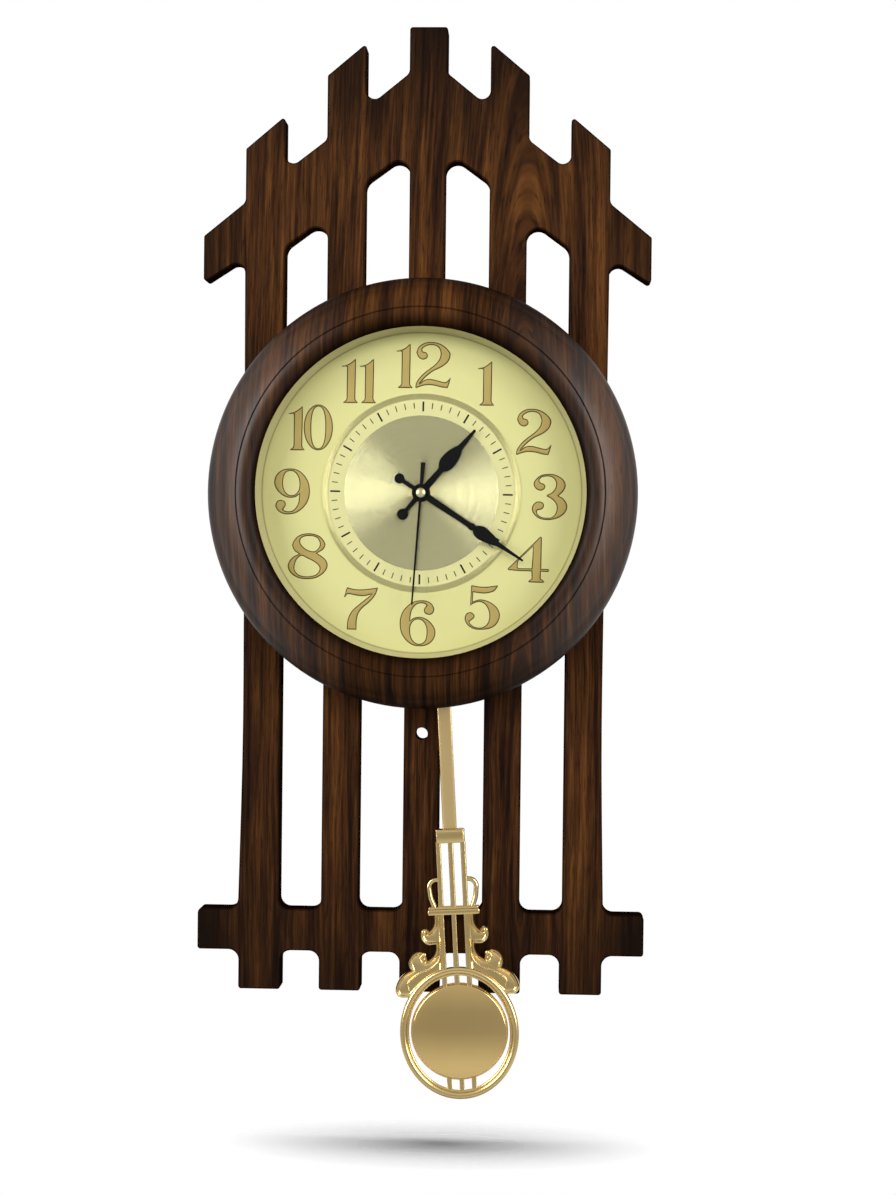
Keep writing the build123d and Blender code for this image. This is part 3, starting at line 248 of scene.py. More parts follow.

# %% [markdown]
# ## Walnut veneer under toned lacquer
#
# The board and the case are faced with walnut veneer whose grain runs straight up, with one cathedral
# figure on the right. A picture texture would do, but would repeat and blur up close.
# Here the grain is a noise read along one warped coordinate: distance from a tall, thin ellipse. Far
# from its centre that is plain vertical grain, near it the lines close into arches. The lacquer is
# sprayed darker towards the tips and arms, so a second, slow gradient tones the colour. The same dark
# colour also paints shade on the board's side walls and on the ring's rolled rim, inner lip and groove.

# %% Walnut finish

WALNUT_DARK = paint(14, 6, 3)
WALNUT_MID = paint(39, 20, 8)
WALNUT_LIGHT = paint(61, 35, 14)
WALNUT_PALE = paint(88, 53, 23)
# Dark colour of the sprayed toner, also used to paint shade.
TONER_AND_SHADE = paint(13, 6, 3)
FIGURE_X = 0.060
FIGURE_Z = DIAL.z - 0.22
FIGURE_SQUASH = 0.062
FIGURE_SWAY = 0.010
GROOVE_R = half_width("glass_lens") + 7.1 * MM
SPACER_R = GROOVE_R - 13.1 * MM
# Bands of painted shade on the turned ring: where its rim rolls away, on its inner lip and in its groove.
RING_RIM_SHADE = (0.117, 0.1265)
RING_LIP_SHADE = (0.0965, 0.1075)
RING_GROOVE_SHADE = (0.0002, 0.0010)
SIDE_SPRAY = (0.100, 0.132)
TIP_SPRAY = (0.195, 0.280)
FOOT_SPRAY = (0.215, 0.300)
FULL_TONER_AND_SHADE = 0.94
PORE_BAND = (0.57, 0.68)


def grain(finish, x, z):
    """Streak strength, fine streaks and pores of walnut."""
    drift = finish.noise(finish.vector(x, 0.0, z * 0.45), 9.0, 2.0)
    across = x + (drift - 0.5) * FIGURE_SWAY - FIGURE_X
    along = (z - FIGURE_Z) * FIGURE_SQUASH
    ring = (across * across + along * along) ** 0.5
    broad = finish.noise(finish.vector(ring, 0.0, z * 0.03), 110.0, 3.0, 0.6)
    streak = finish.noise(finish.vector(ring, 0.3, z * 0.035), 460.0, 4.0, 0.7)
    pores = finish.noise(finish.vector(ring, 0.7, z * 0.05), 1500.0, 2.0, 0.5)
    return broad, streak, pores


def walnut(name, turned):
    """Veneer for the flat board, toned dark at its tips and arms, with painted shade on its side walls, or
    for the turned ring, with painted shade on its rim, lip and groove.
    """
    finish = Finish(name, Coat_Roughness=0.48, Specular_IOR_Level=0.0)
    x, _, z = finish.place()
    broad, streak, pores = grain(finish, x, z)
    tone = broad * 0.5 + streak * 0.5
    colour = finish.ramp(
        tone, (0.38, WALNUT_DARK), (0.46, WALNUT_MID), (0.53, WALNUT_LIGHT), (0.62, WALNUT_PALE)
    )
    pore = pores.over(*PORE_BAND)
    colour = finish.blend(pore * 0.7, colour, WALNUT_DARK)
    dx = x - DIAL.x
    dz = z - DIAL.z
    if turned:
        out = (dx * dx + dz * dz) ** 0.5
        # Painted shade: darker where the rim rolls away, on the inner lip and in the groove.
        rim = out.over(*RING_RIM_SHADE)
        lip = 1 - out.over(*RING_LIP_SHADE)
        groove = 1 - abs(out - GROOVE_R).over(*RING_GROOVE_SHADE)
        shade = rim * 0.70 + lip * 0.90 + groove * 0.35
        flank = (abs(dx) / out).over(0.35, 0.95)
        lacquer = (0.12 + flank * 0.88) * (1 - lip)
    else:
        side = abs(dx).over(*SIDE_SPRAY) * 0.62
        tip = dz.over(*TIP_SPRAY) * 0.80
        foot = (0 - dz).over(*FOOT_SPRAY) * 0.62
        # Painted shade on the side walls, which turn away from the front.
        normal = finish.node("ShaderNodeNewGeometry", "Normal")
        sockets = {0: normal, 1: (0, -1, 0)}
        facing = finish.node("ShaderNodeVectorMath", "Value", {"operation": "DOT_PRODUCT"}, sockets)
        wall = 1 - abs(facing).over(0.45, 0.98)
        # Sprayed toner at the sides, tips and feet, plus the painted shade on the walls.
        shade = side + tip + foot + wall * 0.8
        lacquer = 0.10 - wall * 0.10
    shade = shade.least(FULL_TONER_AND_SHADE)
    # The dark colour goes on as sprayed toner and as painted shade.
    colour = finish.blend(shade, colour, TONER_AND_SHADE)
    return finish.set(
        Base_Color=colour,
        Roughness=0.46 + streak * 0.16,
        Coat_Weight=lacquer,
        Normal=finish.bump(streak * 0.5 + pores * 0.5, 0.10, 0.0003),
    )


BOARD_WALNUT = walnut("walnut_board", turned=False)
RING_WALNUT = walnut("walnut_turned", turned=True)
print("walnut", len(BOARD_WALNUT.node_tree.nodes), len(RING_WALNUT.node_tree.nodes), "nodes")

# %% [markdown]
# ## Dial paint, spun disc and gilding
#
# The dial is cream-yellow satin paint, with painted shade darker towards its rim and least at the
# bottom, where the case ring would shade it, and a thin painted contact shadow at the spacer ring. The
# disc in its middle is thin metal spun against an abrasive, which leaves fine circles, and the light then
# gathers in two fans. Those fans are not painted here. A bump would read the circles at the size of a
# pixel and turn them into blotches, so the normals themselves are tipped in and out along the radius,
# line by line, and the reflections spread the way they do on the metal.

# %% Dial finishes


def radius_of(finish):
    """Distance from the dial axis, and the two offsets."""
    x, _, z = finish.place()
    dx = x - DIAL.x
    dz = z - DIAL.z
    return (dx * dx + dz * dz) ** 0.5, dx, dz


CREAM = (paint(222, 219, 146), paint(230, 227, 160))
# Colours of painted shade at the dial's rim, and of a painted contact shadow at the spacer ring.
DIAL_SHADE_COLOUR = paint(160, 154, 96)
CONTACT_SHADOW_COLOUR = paint(104, 95, 46)
SPUN_TONES = (paint(235, 230, 173), paint(243, 239, 188))
TRACK_CREAM = paint(228, 224, 160)
BEAD_GILT = paint(237, 231, 162)
LINE_SCALE = 70000.0
DISC_LEAN = 3.0
BEAD_LEAN = 2.6
BEAD_CROWN = 0.18
BEAD_MID = 56.5 * MM
BEAD_HALF = 1.8 * MM
# Radii over which the painted rim shade grows.
DIAL_SHADE_BAND = (0.072, 0.0965)


def dial_paint():
    finish = Finish("dial_cream_paint", Specular_IOR_Level=0.3)
    out, dx, dz = radius_of(finish)
    cloud = finish.noise(finish.vector(dx, 0.0, dz), 14.0, 2.0)
    speck = finish.noise(finish.vector(dx, 0.2, dz), 2600.0, 2.0)
    # Painted shade: darker towards the rim, least at the bottom, as the case ring's shadow falls.
    low = (0 - dz / out).over(0.15, 0.85)
    rim = out.over(*DIAL_SHADE_BAND) * (1 - low * 0.85)
    colour = finish.blend(rim * 0.32, finish.blend(cloud, *CREAM), DIAL_SHADE_COLOUR)
    # A painted contact shadow where the dial meets the spacer ring.
    contact = out.over(SPACER_R - 1.0 * MM, SPACER_R - 0.1 * MM) * 0.7
    return finish.toned(contact, colour, CONTACT_SHADOW_COLOUR, speck, 0.42, 0.12, 0.05)


def turned_lines(finish, out, dx, dz, lean, slope=0.0):
    """Normals tipped in and out along the radius, as fine turning lines leave them on a slope."""
    sockets = {"W": out, "Scale": LINE_SCALE, "Detail": 0.0}
    line = finish.node("ShaderNodeTexNoise", 0, {"noise_dimensions": "1D"}, sockets)
    tip = (line - 0.5) * lean + slope
    tipped = finish.vector(dx / out * tip, -1.0, dz / out * tip)
    return finish.node("ShaderNodeVectorMath", 0, {"operation": "NORMALIZE"}, {0: tipped})


def spun_gold():
    finish = Finish("spun_gold_disc", Metallic=1.0)
    out, dx, dz = radius_of(finish)
    band = finish.noise(finish.vector(out, 0.0, 0.0), 900.0, 2.0)
    return finish.set(
        Base_Color=finish.blend(band, *SPUN_TONES),
        Roughness=0.21 + band * 0.08,
        Normal=turned_lines(finish, out, dx, dz, DISC_LEAN),
    )


def chapter_paint():
    """Cream track for the minute marks, spun gilt on the raised bead round it."""
    finish = Finish("chapter_track", Specular_IOR_Level=0.3)
    out, dx, dz = radius_of(finish)
    bead = out.over(BEAD_MID - BEAD_HALF, BEAD_MID - BEAD_HALF + 0.4 * MM)
    crown = (out - BEAD_MID) / BEAD_HALF * BEAD_CROWN
    speck = finish.noise(finish.vector(dx, 0.0, dz), 1800.0, 2.0)
    return finish.set(
        Base_Color=finish.blend(bead, TRACK_CREAM, BEAD_GILT),
        Metallic=bead,
        Roughness=0.42 - bead * 0.16 + speck * 0.04,
        Normal=turned_lines(finish, out, dx, dz, bead * BEAD_LEAN, bead * crown),
    )


def grained(name, dark, light, rough, spread, drift, grit, strength, **constants):
    """Two tones that drift into each other, under a fine grain that breaks up the polish."""
    finish = Finish(name, **constants)
    where = finish.where()
    fine = finish.noise(where, *grit)
    return finish.toned(finish.noise(where, *drift), dark, light, fine, rough, spread, strength)


def gold(name, dark, light, rough, spread):
    """Gold-coloured cast metal with a soft polish."""
    return grained(name, dark, light, rough, spread, (38.0, 3.0), (1500.0, 3.0), 0.06, Metallic=1.0)


def foil(name, dark, light):
    """Gilt foil: more paint than metal."""
    return grained(name, dark, light, 0.36, 0.12, (60.0, 2.0), (1800.0, 2.0), 0.05, Metallic=0.35)


DIAL_PAINT = dial_paint()
SPUN_GOLD = spun_gold()
CHAPTER = chapter_paint()
CAST_GOLD = gold("cast_gold", paint(214, 186, 124), paint(234, 208, 148), 0.16, 0.10)
ROD_GOLD = gold("drawn_gold", paint(226, 196, 136), paint(236, 207, 149), 0.32, 0.08)
BOB_GOLD = gold("satin_gold", paint(221, 190, 124), paint(231, 200, 136), 0.13, 0.05)
PALE_GOLD = gold("pale_gold", paint(236, 226, 168), paint(246, 238, 188), 0.28, 0.10)
NUMERAL_GOLD = foil("numeral_gold", paint(186, 163, 90), paint(206, 184, 112))
print("dial and gold finishes ready")

# %% [markdown]
# ## Plain trade finishes
#
# Behind the dial sit moulded plastics, zinc steel, brass, copper wire, laminate and fibreboard.
# Nobody looks at them often, yet the back of a clock is open, so each gets the mark of how it was
# made: mould grain, brushing, winding, woven glass, pressed fibre.

# %% Workshop finishes

COPPER = (paint(96, 40, 16), paint(196, 108, 58))
WIRE_PITCH = 0.00035
WEAVE_PITCH = 0.0007
SATIN_BLACK = (paint(6, 6, 6), paint(14, 14, 14))
GLASS_EDGE = (0.0985, 0.1)


def moulded(name, tint, deep, rough):
    """Moulded plastic or paint with a fine grain."""
    drift, grit = (60.0, 2.0), (2200.0, 2.0)
    return grained(name, deep, tint, rough, 0.14, drift, grit, 0.10, Specular_IOR_Level=0.4)


def brushed(name, dark, light, rough):
    """Bright metal with lengthwise brushing."""
    finish = Finish(name, Metallic=1.0)
    x, y, z = finish.place()
    lines = finish.noise(finish.vector(x * 0.08, y, z), 3200.0, 3.0)
    return finish.toned(lines, dark, light, lines, rough, 0.16, 0.08)


def wave(along, pitch):
    """A sine with one beat to each pitch."""
    return (along * (2 * math.pi / pitch)).sine()


def wound(name, axis):
    """Enamelled copper wire wound side by side along an axis."""
    finish = Finish(name, Metallic=0.9)
    turns = wave(finish.place()[axis], WIRE_PITCH)
    return finish.toned(turns * 0.5 + 0.5, *COPPER, turns, 0.32, -0.08, 0.4, 0.0001)


def fibre(name, dark, light):
    """Pressed fibreboard: tangled short fibres."""
    finish = Finish(name, Specular_IOR_Level=0.2)
    where = finish.where()
    tangle = finish.noise(where, 900.0, 4.0, 0.7, 1.5)
    cloud = finish.noise(where, 40.0, 2.0)
    return finish.toned(tangle * 0.7 + cloud * 0.3, dark, light, tangle, 0.78, 0.15, 0.25, 0.0003)


def laminate():
    """Green circuit laminate with a faint glass weave."""
    finish = Finish("green_laminate", Specular_IOR_Level=0.5)
    x, _, z = finish.place()
    weave = wave(x, WEAVE_PITCH) * wave(z, WEAVE_PITCH) * 0.5 + 0.5
    colour = finish.blend(weave, paint(20, 74, 34), paint(38, 104, 52))
    return finish.set(Base_Color=colour, Roughness=0.30 + weave * 0.1)


def battery_sleeve():
    """Plain printed sleeve: a dark body, a brighter shoulder and the bare steel button."""
    finish = Finish("cell_sleeve")
    low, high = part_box("battery")
    x, y, z = finish.place()
    share = (x - low[0]) / (high[0] - low[0])
    scuff = finish.noise(finish.vector(x, y, z), 300.0, 3.0)
    body = finish.blend(share.over(0.70, 0.715), paint(22, 40, 84), paint(176, 122, 52))
    steel = share.over(0.965, 0.972)
    colour = finish.blend(steel, body, paint(190, 190, 192))
    return finish.set(Base_Color=colour, Metallic=steel * 0.6 + 0.35, Roughness=0.28 + scuff * 0.16)


def window_glass():
    """Clear glass: faintly smeared, green at its cut edge, and bright only at a grazing look."""
    finish = Finish("clear_glass", Roughness=0.02, Specular_IOR_Level=0.5)
    out, dx, dz = radius_of(finish)
    smear = finish.noise(finish.vector(dx, 0.0, dz), 22.0, 3.0)
    edge = out.over(*GLASS_EDGE)
    shine = finish.node("ShaderNodeLayerWeight", "Fresnel", sockets={"Blend": 0.3})
    return finish.set(
        Base_Color=finish.blend(edge, paint(10, 13, 11), paint(60, 92, 78)),
        Alpha=0.002 + smear * 0.010 + edge * 0.4 + shine * 0.4,
    )


def black_lacquer():
    """Stamped hands, sprayed satin black."""
    finish = Finish("black_lacquer", Coat_Roughness=0.25, Specular_IOR_Level=0.15)
    spray = finish.noise(finish.where(), 1400.0, 2.0)
    coat = 0.04 + spray * 0.04
    return finish.toned(spray, *SATIN_BLACK, spray, 0.38, 0.12, 0.05, 0.0001, Coat_Weight=coat)


print("ways of finishing ready")

# %% Every node dressed

BLACK_PLASTIC = moulded("black_moulding", paint(34, 34, 36), paint(20, 20, 22), 0.42)
WHITE_PLASTIC = moulded("white_moulding", paint(226, 223, 212), paint(208, 204, 192), 0.40)
RUBBER = moulded("soft_rubber", paint(30, 30, 30), paint(18, 18, 18), 0.72)
MAGNET = moulded("sintered_magnet", paint(72, 72, 76), paint(48, 48, 52), 0.46)
ZINC = brushed("zinc_steel", paint(150, 152, 156), paint(206, 208, 212), 0.24)
BRASS = brushed("turned_brass", paint(150, 112, 46), paint(214, 176, 96), 0.22)
CAN = brushed("bright_can", paint(176, 178, 182), paint(220, 222, 226), 0.16)
SPACER_PAINT = moulded("spacer_paint", paint(210, 203, 152), paint(198, 191, 138), 0.34)
BLACK_HANDS = black_lacquer()
GLASS = window_glass()
FINISHES = (
    (BOARD_WALNUT, "backboard"),
    (RING_WALNUT, "case_ring"),
    (ZINC, "hanger_plate hanger_screws case_screws backing_screws"),
    (ZINC, "contact_positive contact_negative motor_stator pivot_pin"),
    (BRASS, "bush_nut second_cap cannon_pinion"),
    (GLASS, "glass_lens"),
    (SPACER_PAINT, "spacer_ring"),
    (DIAL_PAINT, "dial_plate"),
    (SPUN_GOLD, "dial_centre_disc"),
    (CHAPTER, "chapter_ring"),
    (fibre("fibreboard", paint(84, 56, 34), paint(136, 98, 62)), "dial_backing"),
    (BLACK_PLASTIC, "movement_case movement_cover setting_knob"),
    (RUBBER, "rubber_washer"),
    (battery_sleeve(), "battery"),
    (laminate(), "circuit_board"),
    (CAN, "quartz_crystal"),
    (wound("motor_winding", 0), "motor_coil"),
    (wound("drive_winding", 1), "pendulum_coil"),
    (BLACK_HANDS, "second_hand minute_hand hour_hand"),
    (MAGNET, "rotor_magnet drive_magnet"),
    (ROD_GOLD, "pendulum_rod"),
    (CAST_GOLD, "lyre_frame"),
    (BOB_GOLD, "bob_disc"),
)
NODE_FINISH = {node: material for material, nodes in FINISHES for node in nodes.split()}


def dress(thing, material):
    """Give an object one finish."""
    thing.data.materials.clear()
    thing.data.materials.append(material)


for name, node in NODES.items():
    dress(node, NODE_FINISH.get(name, WHITE_PLASTIC))
print("dressed", len(NODES), "nodes,", len(NODE_FINISH), "by name, the rest in white plastic")

# %% [markdown]
# ## Small makers of mesh
#
# Three helpers make most of the new pieces: a lathe for turned work, a bent tube for wire, and a
# relief for flat castings and numerals. The relief joins overlapping outlines into one shape with a
# Delaunay triangulation, then raises it in steps, each step drawn in or out from the edge.

# %% Lathe and lines


def new_piece(name, mesh, material):
    thing = bpy.data.objects.new(name, mesh)
    scene.collection.objects.link(thing)
    dress(thing, material)
    return thing


def tidy_mesh(name, verts, faces, smooth=True):
    """A closed mesh with doubles merged and its faces turned outwards."""
    work = bmesh.new()
    made = [work.verts.new(vert) for vert in verts]
    for face in faces:
        if len(set(face)) > 2:
            try:
                work.faces.new([made[index] for index in face])
            except ValueError:
                continue
    bmesh.ops.remove_doubles(work, verts=work.verts, dist=1e-7)
    bmesh.ops.recalc_face_normals(work, faces=work.faces)
    mesh = bpy.data.meshes.new(name)
    work.to_mesh(mesh)
    work.free()
    for polygon in mesh.polygons:
        polygon.use_smooth = smooth
    return mesh


def ring_faces(rings, count, closed=True):
    """Quads between rings of count points, one ring after another, and back to the first if closed."""
    faces = []
    for ring in range(rings if closed else rings - 1):
        here, there = ring * count, (ring + 1) % rings * count
        for index in range(count):
            after = (index + 1) % count
            faces.append((here + index, here + after, there + after, there + index))
    return faces


def lathe(name, profile, centre, steps):
    """Turn a closed profile of (radius, y) points round the Y axis through centre."""
    verts = []
    for step in range(steps):
        turn = 2 * math.pi * step / steps
        for out, y in profile:
            verts.append((centre.x + out * math.cos(turn), y, centre.z + out * math.sin(turn)))
    return tidy_mesh(name, verts, ring_faces(steps, len(profile)))


def arc(start, via, end, steps):
    """Points from start to end on the circle through via."""
    ax, ay = start
    bx, by = via
    cx, cy = end
    area = 2 * (ax * (by - cy) + bx * (cy - ay) + cx * (ay - by))
    ux = ((ax**2 + ay**2) * (by - cy) + (bx**2 + by**2) * (cy - ay) + (cx**2 + cy**2) * (ay - by)) / area
    uy = ((ax**2 + ay**2) * (cx - bx) + (bx**2 + by**2) * (ax - cx) + (cx**2 + cy**2) * (bx - ax)) / area
    first = math.atan2(ay - uy, ax - ux)
    mid = (math.atan2(by - uy, bx - ux) - first) % (2 * math.pi)
    last = (math.atan2(cy - uy, cx - ux) - first) % (2 * math.pi)
    sweep = last if mid < last else last - 2 * math.pi
    size = math.hypot(ax - ux, ay - uy)
    return [
        (ux + size * math.cos(first + sweep * k / steps), uy + size * math.sin(first + sweep * k / steps))
        for k in range(steps + 1)
    ]


def smooth_line(points, steps, closed=False):
    """A flowing line through the given points, its slopes fitted to uneven spacing."""
    points = [Vector(point) for point in points]
    full = [points[-1], *points, *points[:2]] if closed else [points[0], *points, points[-1]]
    line = []
    for a, b, c, d in zip(full, full[1:], full[2:], full[3:]):
        span = (c - b).length
        leave = (c - a) * (span / ((b - a).length + span))
        arrive = (d - b) * (span / (span + (d - c).length))
        for step in range(steps):
            t = step / steps
            start = b * (2 * t**3 - 3 * t**2 + 1) + leave * (t**3 - 2 * t**2 + t)
            line.append(tuple(start + c * (3 * t**2 - 2 * t**3) + arrive * (t**3 - t**2)))
    return line if closed else line + [tuple(points[-1])]


def drawn(start, *runs, steps=5):
    """A closed outline: each run flows on from the last point, and two runs meet in a corner."""
    outline = [tuple(Vector(start))]
    for run in runs:
        outline += smooth_line([outline[-1], *run], steps if len(run) > 1 else 1)[1:]
    return outline[:-1] if outline[0] == outline[-1] else outline


def squared(value, power):
    """A sine or cosine bent towards a square; a power of 1 leaves it as it is."""
    return math.copysign(abs(value) ** power, value)


def oval(x, y, half_x, half_y, steps, power=1.0):
    """An oval round a point; a lower power makes its sides straighter."""
    points = []
    for k in range(steps):
        turn = 2 * math.pi * k / steps
        wide, tall = squared(math.cos(turn), power), squared(math.sin(turn), power)
        points.append((x + half_x * wide, y + half_y * tall))
    return points


def ball(x, y, size, steps=28):
    return oval(x, y, size, size, steps)


def doubled_area(a, b, c):
    return (b[0] - a[0]) * (c[1] - a[1]) - (b[1] - a[1]) * (c[0] - a[0])


print("lathe and lines ready")

# %% Relief from outlines


def within(point, outline):
    """Even-odd test of a point against an outline."""
    x, y = point
    inside = False
    for (ax, ay), (bx, by) in zip(outline, outline[1:] + outline[:1]):
        if (ay > y) != (by > y) and x < (bx - ax) * (y - ay) / (by - ay) + ax:
            inside = not inside
    return inside


def joined(outlines, holes=()):
    """Points, triangles and rim edges of outlines joined into one flat shape, less its holes."""
    points, loops = [], []
    for outline in (*outlines, *holes):
        loops.append(list(range(len(points), len(points) + len(outline))))
        points += [Vector(point) for point in outline]
    places, _, triangles, *_ = delaunay_2d_cdt(points, [], loops, 1, 1e-6)
    kept = []
    for triangle in triangles:
        a, b, c = (places[index] for index in triangle)
        centre = ((a.x + b.x + c.x) / 3, (a.y + b.y + c.y) / 3)
        inside = any(within(centre, outline) for outline in outlines)
        if inside and not any(within(centre, hole) for hole in holes):
            upright = doubled_area(a, b, c) > 0
            kept.append(tuple(triangle) if upright else tuple(reversed(triangle)))
    directed = {(a, b) for t in kept for a, b in zip(t, t[1:] + t[:1])}
    rim = [(a, b) for a, b in directed if (b, a) not in directed]
    return [(place.x, place.y) for place in places], kept, rim


CORNER_GAIN = 1.4
STROKE_SHARE = 0.42
FOLD_SWEEPS = 16
FOLD_EASE = 0.8
FOLD_KEEP = 0.06


def inward_room(places, rim, lean):
    """How far each rim point can go inwards before it meets the far side of its stroke."""
    room = {}
    for index, (nx, ny) in lean.items():
        px, py = places[index]
        nearest = 1e9
        for a, b in rim:
            ex, ey = places[b][0] - places[a][0], places[b][1] - places[a][1]
            facing = ny * ex - nx * ey
            if index in (a, b) or abs(facing) < 1e-12:
                continue
            gap_x, gap_y = places[a][0] - px, places[a][1] - py
            along = (gap_x * ey - gap_y * ex) / facing
            share = (gap_y * nx - gap_x * ny) / facing
            if along > 1e-9 and 0 <= share <= 1:
                nearest = min(nearest, along)
        room[index] = nearest
    return room


def ease_folds(places, triangles, lean, limit, least, depth):
    """Lessen, down to least, the inward move of points whose triangles would turn over at a depth."""
    for _ in range(FOLD_SWEEPS):
        moved = []
        for index, (x, y) in enumerate(places):
            nx, ny = lean.get(index, (0.0, 0.0))
            move = min(depth, limit.get(index, 0.0))
            moved.append((x - nx * move, y - ny * move))
        folded = set()
        for triangle in triangles:
            before = doubled_area(*(places[index] for index in triangle))
            after = doubled_area(*(moved[index] for index in triangle))
            if after / before < FOLD_KEEP:
                folded.update(triangle)
        if not folded:
            break
        for index in folded & set(limit):
            limit[index] = max(min(least, limit[index]), min(depth, limit[index]) * FOLD_EASE)


def used_only(verts, faces):
    """Drop points that no face uses."""
    used = sorted({index for face in faces for index in face})
    fresh = {index: place for place, index in enumerate(used)}
    kept = [tuple(fresh[index] for index in face) for face in faces]
    return [verts[index] for index in used], kept


def relief(outlines, profile, holes=(), unfold=False):
    """Points and faces of joined outlines, raised through (draw-out, height) steps."""
    places, triangles, rim = joined(outlines, holes)
    lean = {}
    for a, b in rim:
        run_x, run_y = places[b][0] - places[a][0], places[b][1] - places[a][1]
        length = math.hypot(run_x, run_y) or 1.0
        for end in (a, b):
            lean.setdefault(end, []).append((run_y / length, -run_x / length))
    for end, normals in lean.items():
        x, y = sum(n[0] for n in normals), sum(n[1] for n in normals)
        size = math.hypot(x, y) or 1.0
        gain = min(len(normals) / size, CORNER_GAIN)
        lean[end] = (x / size * gain, y / size * gain)
    limit = {index: STROKE_SHARE * room for index, room in inward_room(places, rim, lean).items()}
    if unfold:
        ease_folds(places, triangles, lean, limit, -profile[0][0], -profile[-1][0])
    verts, faces = [], []
    count = len(places)
    for out, height in profile:
        for index, (x, y) in enumerate(places):
            nx, ny = lean.get(index, (0.0, 0.0))
            move = max(out, -limit.get(index, 0.0))
            verts.append((x + nx * move, y + ny * move, height))
    for level in range(len(profile) - 1):
        low, high = level * count, (level + 1) * count
        for a, b in rim:
            faces.append((low + a, low + b, high + b, high + a))
    top = (len(profile) - 1) * count
    faces += [tuple(top + index for index in triangle) for triangle in triangles]
    faces += [tuple(reversed(triangle)) for triangle in triangles]
    return used_only(verts, faces)


def add(shell, verts, faces):
    """Put points and faces into a shell that is being gathered."""
    start = len(shell[0])
    shell[0].extend(verts)
    shell[1].extend(tuple(start + index for index in face) for face in faces)


print("relief ready")

# %% [markdown]
# ## The turned case ring
#
# On the real clock the ring is turned on a lathe, veneered and lacquered: a rolled outer edge, a
# broad sloping band, one scribed groove, and a rounded lip over the glass. The solid has few flats,
# so here the same profile is turned again with fine steps, and the cut-out behind the pendulum rod
# is taken out with a boolean.

# %% Case ring


def bowed(start, end, rise, steps):
    """Points after start on a bowed line, rise at its middle, to the left of the way."""
    run_x, run_y = end[0] - start[0], end[1] - start[1]
    span = math.hypot(run_x, run_y)
    points = []
    for step in range(1, steps + 1):
        t = step / steps
        push = 4 * rise * t * (1 - t) / span
        points.append((start[0] + run_x * t - run_y * push, start[1] + run_y * t + run_x * push))
    return points


glass_front = face_of("glass_lens")
RING_R = half_width("case_ring")
BOARD_FACE = back_of("case_ring")
REAR_R = half_width("dial_backing") + 0.4 * MM
LIP_R = GROOVE_R - 10.8 * MM
GROOVE_HALF = 0.5 * MM
SEAT_R = half_width("glass_lens") + 0.3 * MM
LEDGE_Y = face_of("dial_backing")
EDGE_START = (RING_R, BOARD_FACE - 23.0 * MM)
SHOULDER = (RING_R - 5.5 * MM, BOARD_FACE - 32.5 * MM)
GROOVE_OUT = (GROOVE_R + GROOVE_HALF, glass_front - 5.0 * MM)
GROOVE_IN = (GROOVE_R - GROOVE_HALF, glass_front - 5.4 * MM)
LIP = (LIP_R, glass_front - 2.6 * MM)
ring_profile = [
    (RING_R, BOARD_FACE),
    EDGE_START,
    *bowed(EDGE_START, SHOULDER, 1.2 * MM, 12),
    *bowed(SHOULDER, GROOVE_OUT, 1.3 * MM, 14),
    *bowed(GROOVE_OUT, GROOVE_IN, -0.8 * MM, 6),
    *bowed(GROOVE_IN, LIP, 2.36 * MM, 16),
    (LIP_R, glass_front),
    (SEAT_R, glass_front),
    (SEAT_R, LEDGE_Y),
    (REAR_R, LEDGE_Y),
    (REAR_R, BOARD_FACE),
]
print("ring profile of", len(ring_profile), "points")

# %% Notch and crisp edges

BOX_FACES = [(0, 1, 3, 2), (4, 6, 7, 5), (0, 4, 5, 1), (2, 3, 7, 6), (0, 2, 6, 4), (1, 5, 7, 3)]
NOTCH_W = 46.0 * MM
NOTCH_D = 9.0 * MM


def plain_mesh(thing):
    """What the modifiers of an object make, as a mesh of its own."""
    graph = bpy.context.evaluated_depsgraph_get()
    return bpy.data.meshes.new_from_object(thing.evaluated_get(graph))


def cut_block(thing, xs, ys, zs):
    """Cut a block out of a piece."""
    corners = [(x, y, z) for x in xs for y in ys for z in zs]
    tool = new_piece("tool", tidy_mesh("tool", corners, BOX_FACES, False), thing.data.materials[0])
    cut = thing.modifiers.new("cut", "BOOLEAN")
    cut.object = tool
    cut.operation = "DIFFERENCE"
    cut.solver = "EXACT"
    made = plain_mesh(thing)
    thing.modifiers.clear()
    thing.data = made
    bpy.data.objects.remove(tool)


def crisp(mesh, degrees=40):
    """Smooth shading, with edges sharper than an angle kept hard."""
    for polygon in mesh.polygons:
        polygon.use_smooth = True
    mesh.set_sharp_from_angle(angle=math.radians(degrees))


turned_case = new_piece("turned_case", lathe("turned_case", ring_profile, DIAL, steps=160), RING_WALNUT)
pin_x = middle("pivot_pin").x
cut_block(
    turned_case,
    (pin_x - NOTCH_W / 2, pin_x + NOTCH_W / 2),
    (BOARD_FACE + MM, BOARD_FACE - NOTCH_D),
    (DIAL.z - (RING_R + 5 * MM), DIAL.z - (REAR_R - 9 * MM)),
)
crisp(turned_case.data, degrees=32)
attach(turned_case, "clock")
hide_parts("case_ring")
print("case ring", len(turned_case.data.polygons), "faces, radius", round(RING_R, 4))

# %% [markdown]
# ## Numerals
#
# The numerals are pressed from gilt foil: thick and thin strokes, ball ends, flat feet, with a dark
# line round each. A typeface could be loaded, but the script stands alone, so every figure is drawn
# here: a few flowing lines that meet in corners, on a height of a hundred. The relief then
# makes each one twice, once flat for the dark line and once drawn in and bevelled for the foil.

# %% Figure shapes

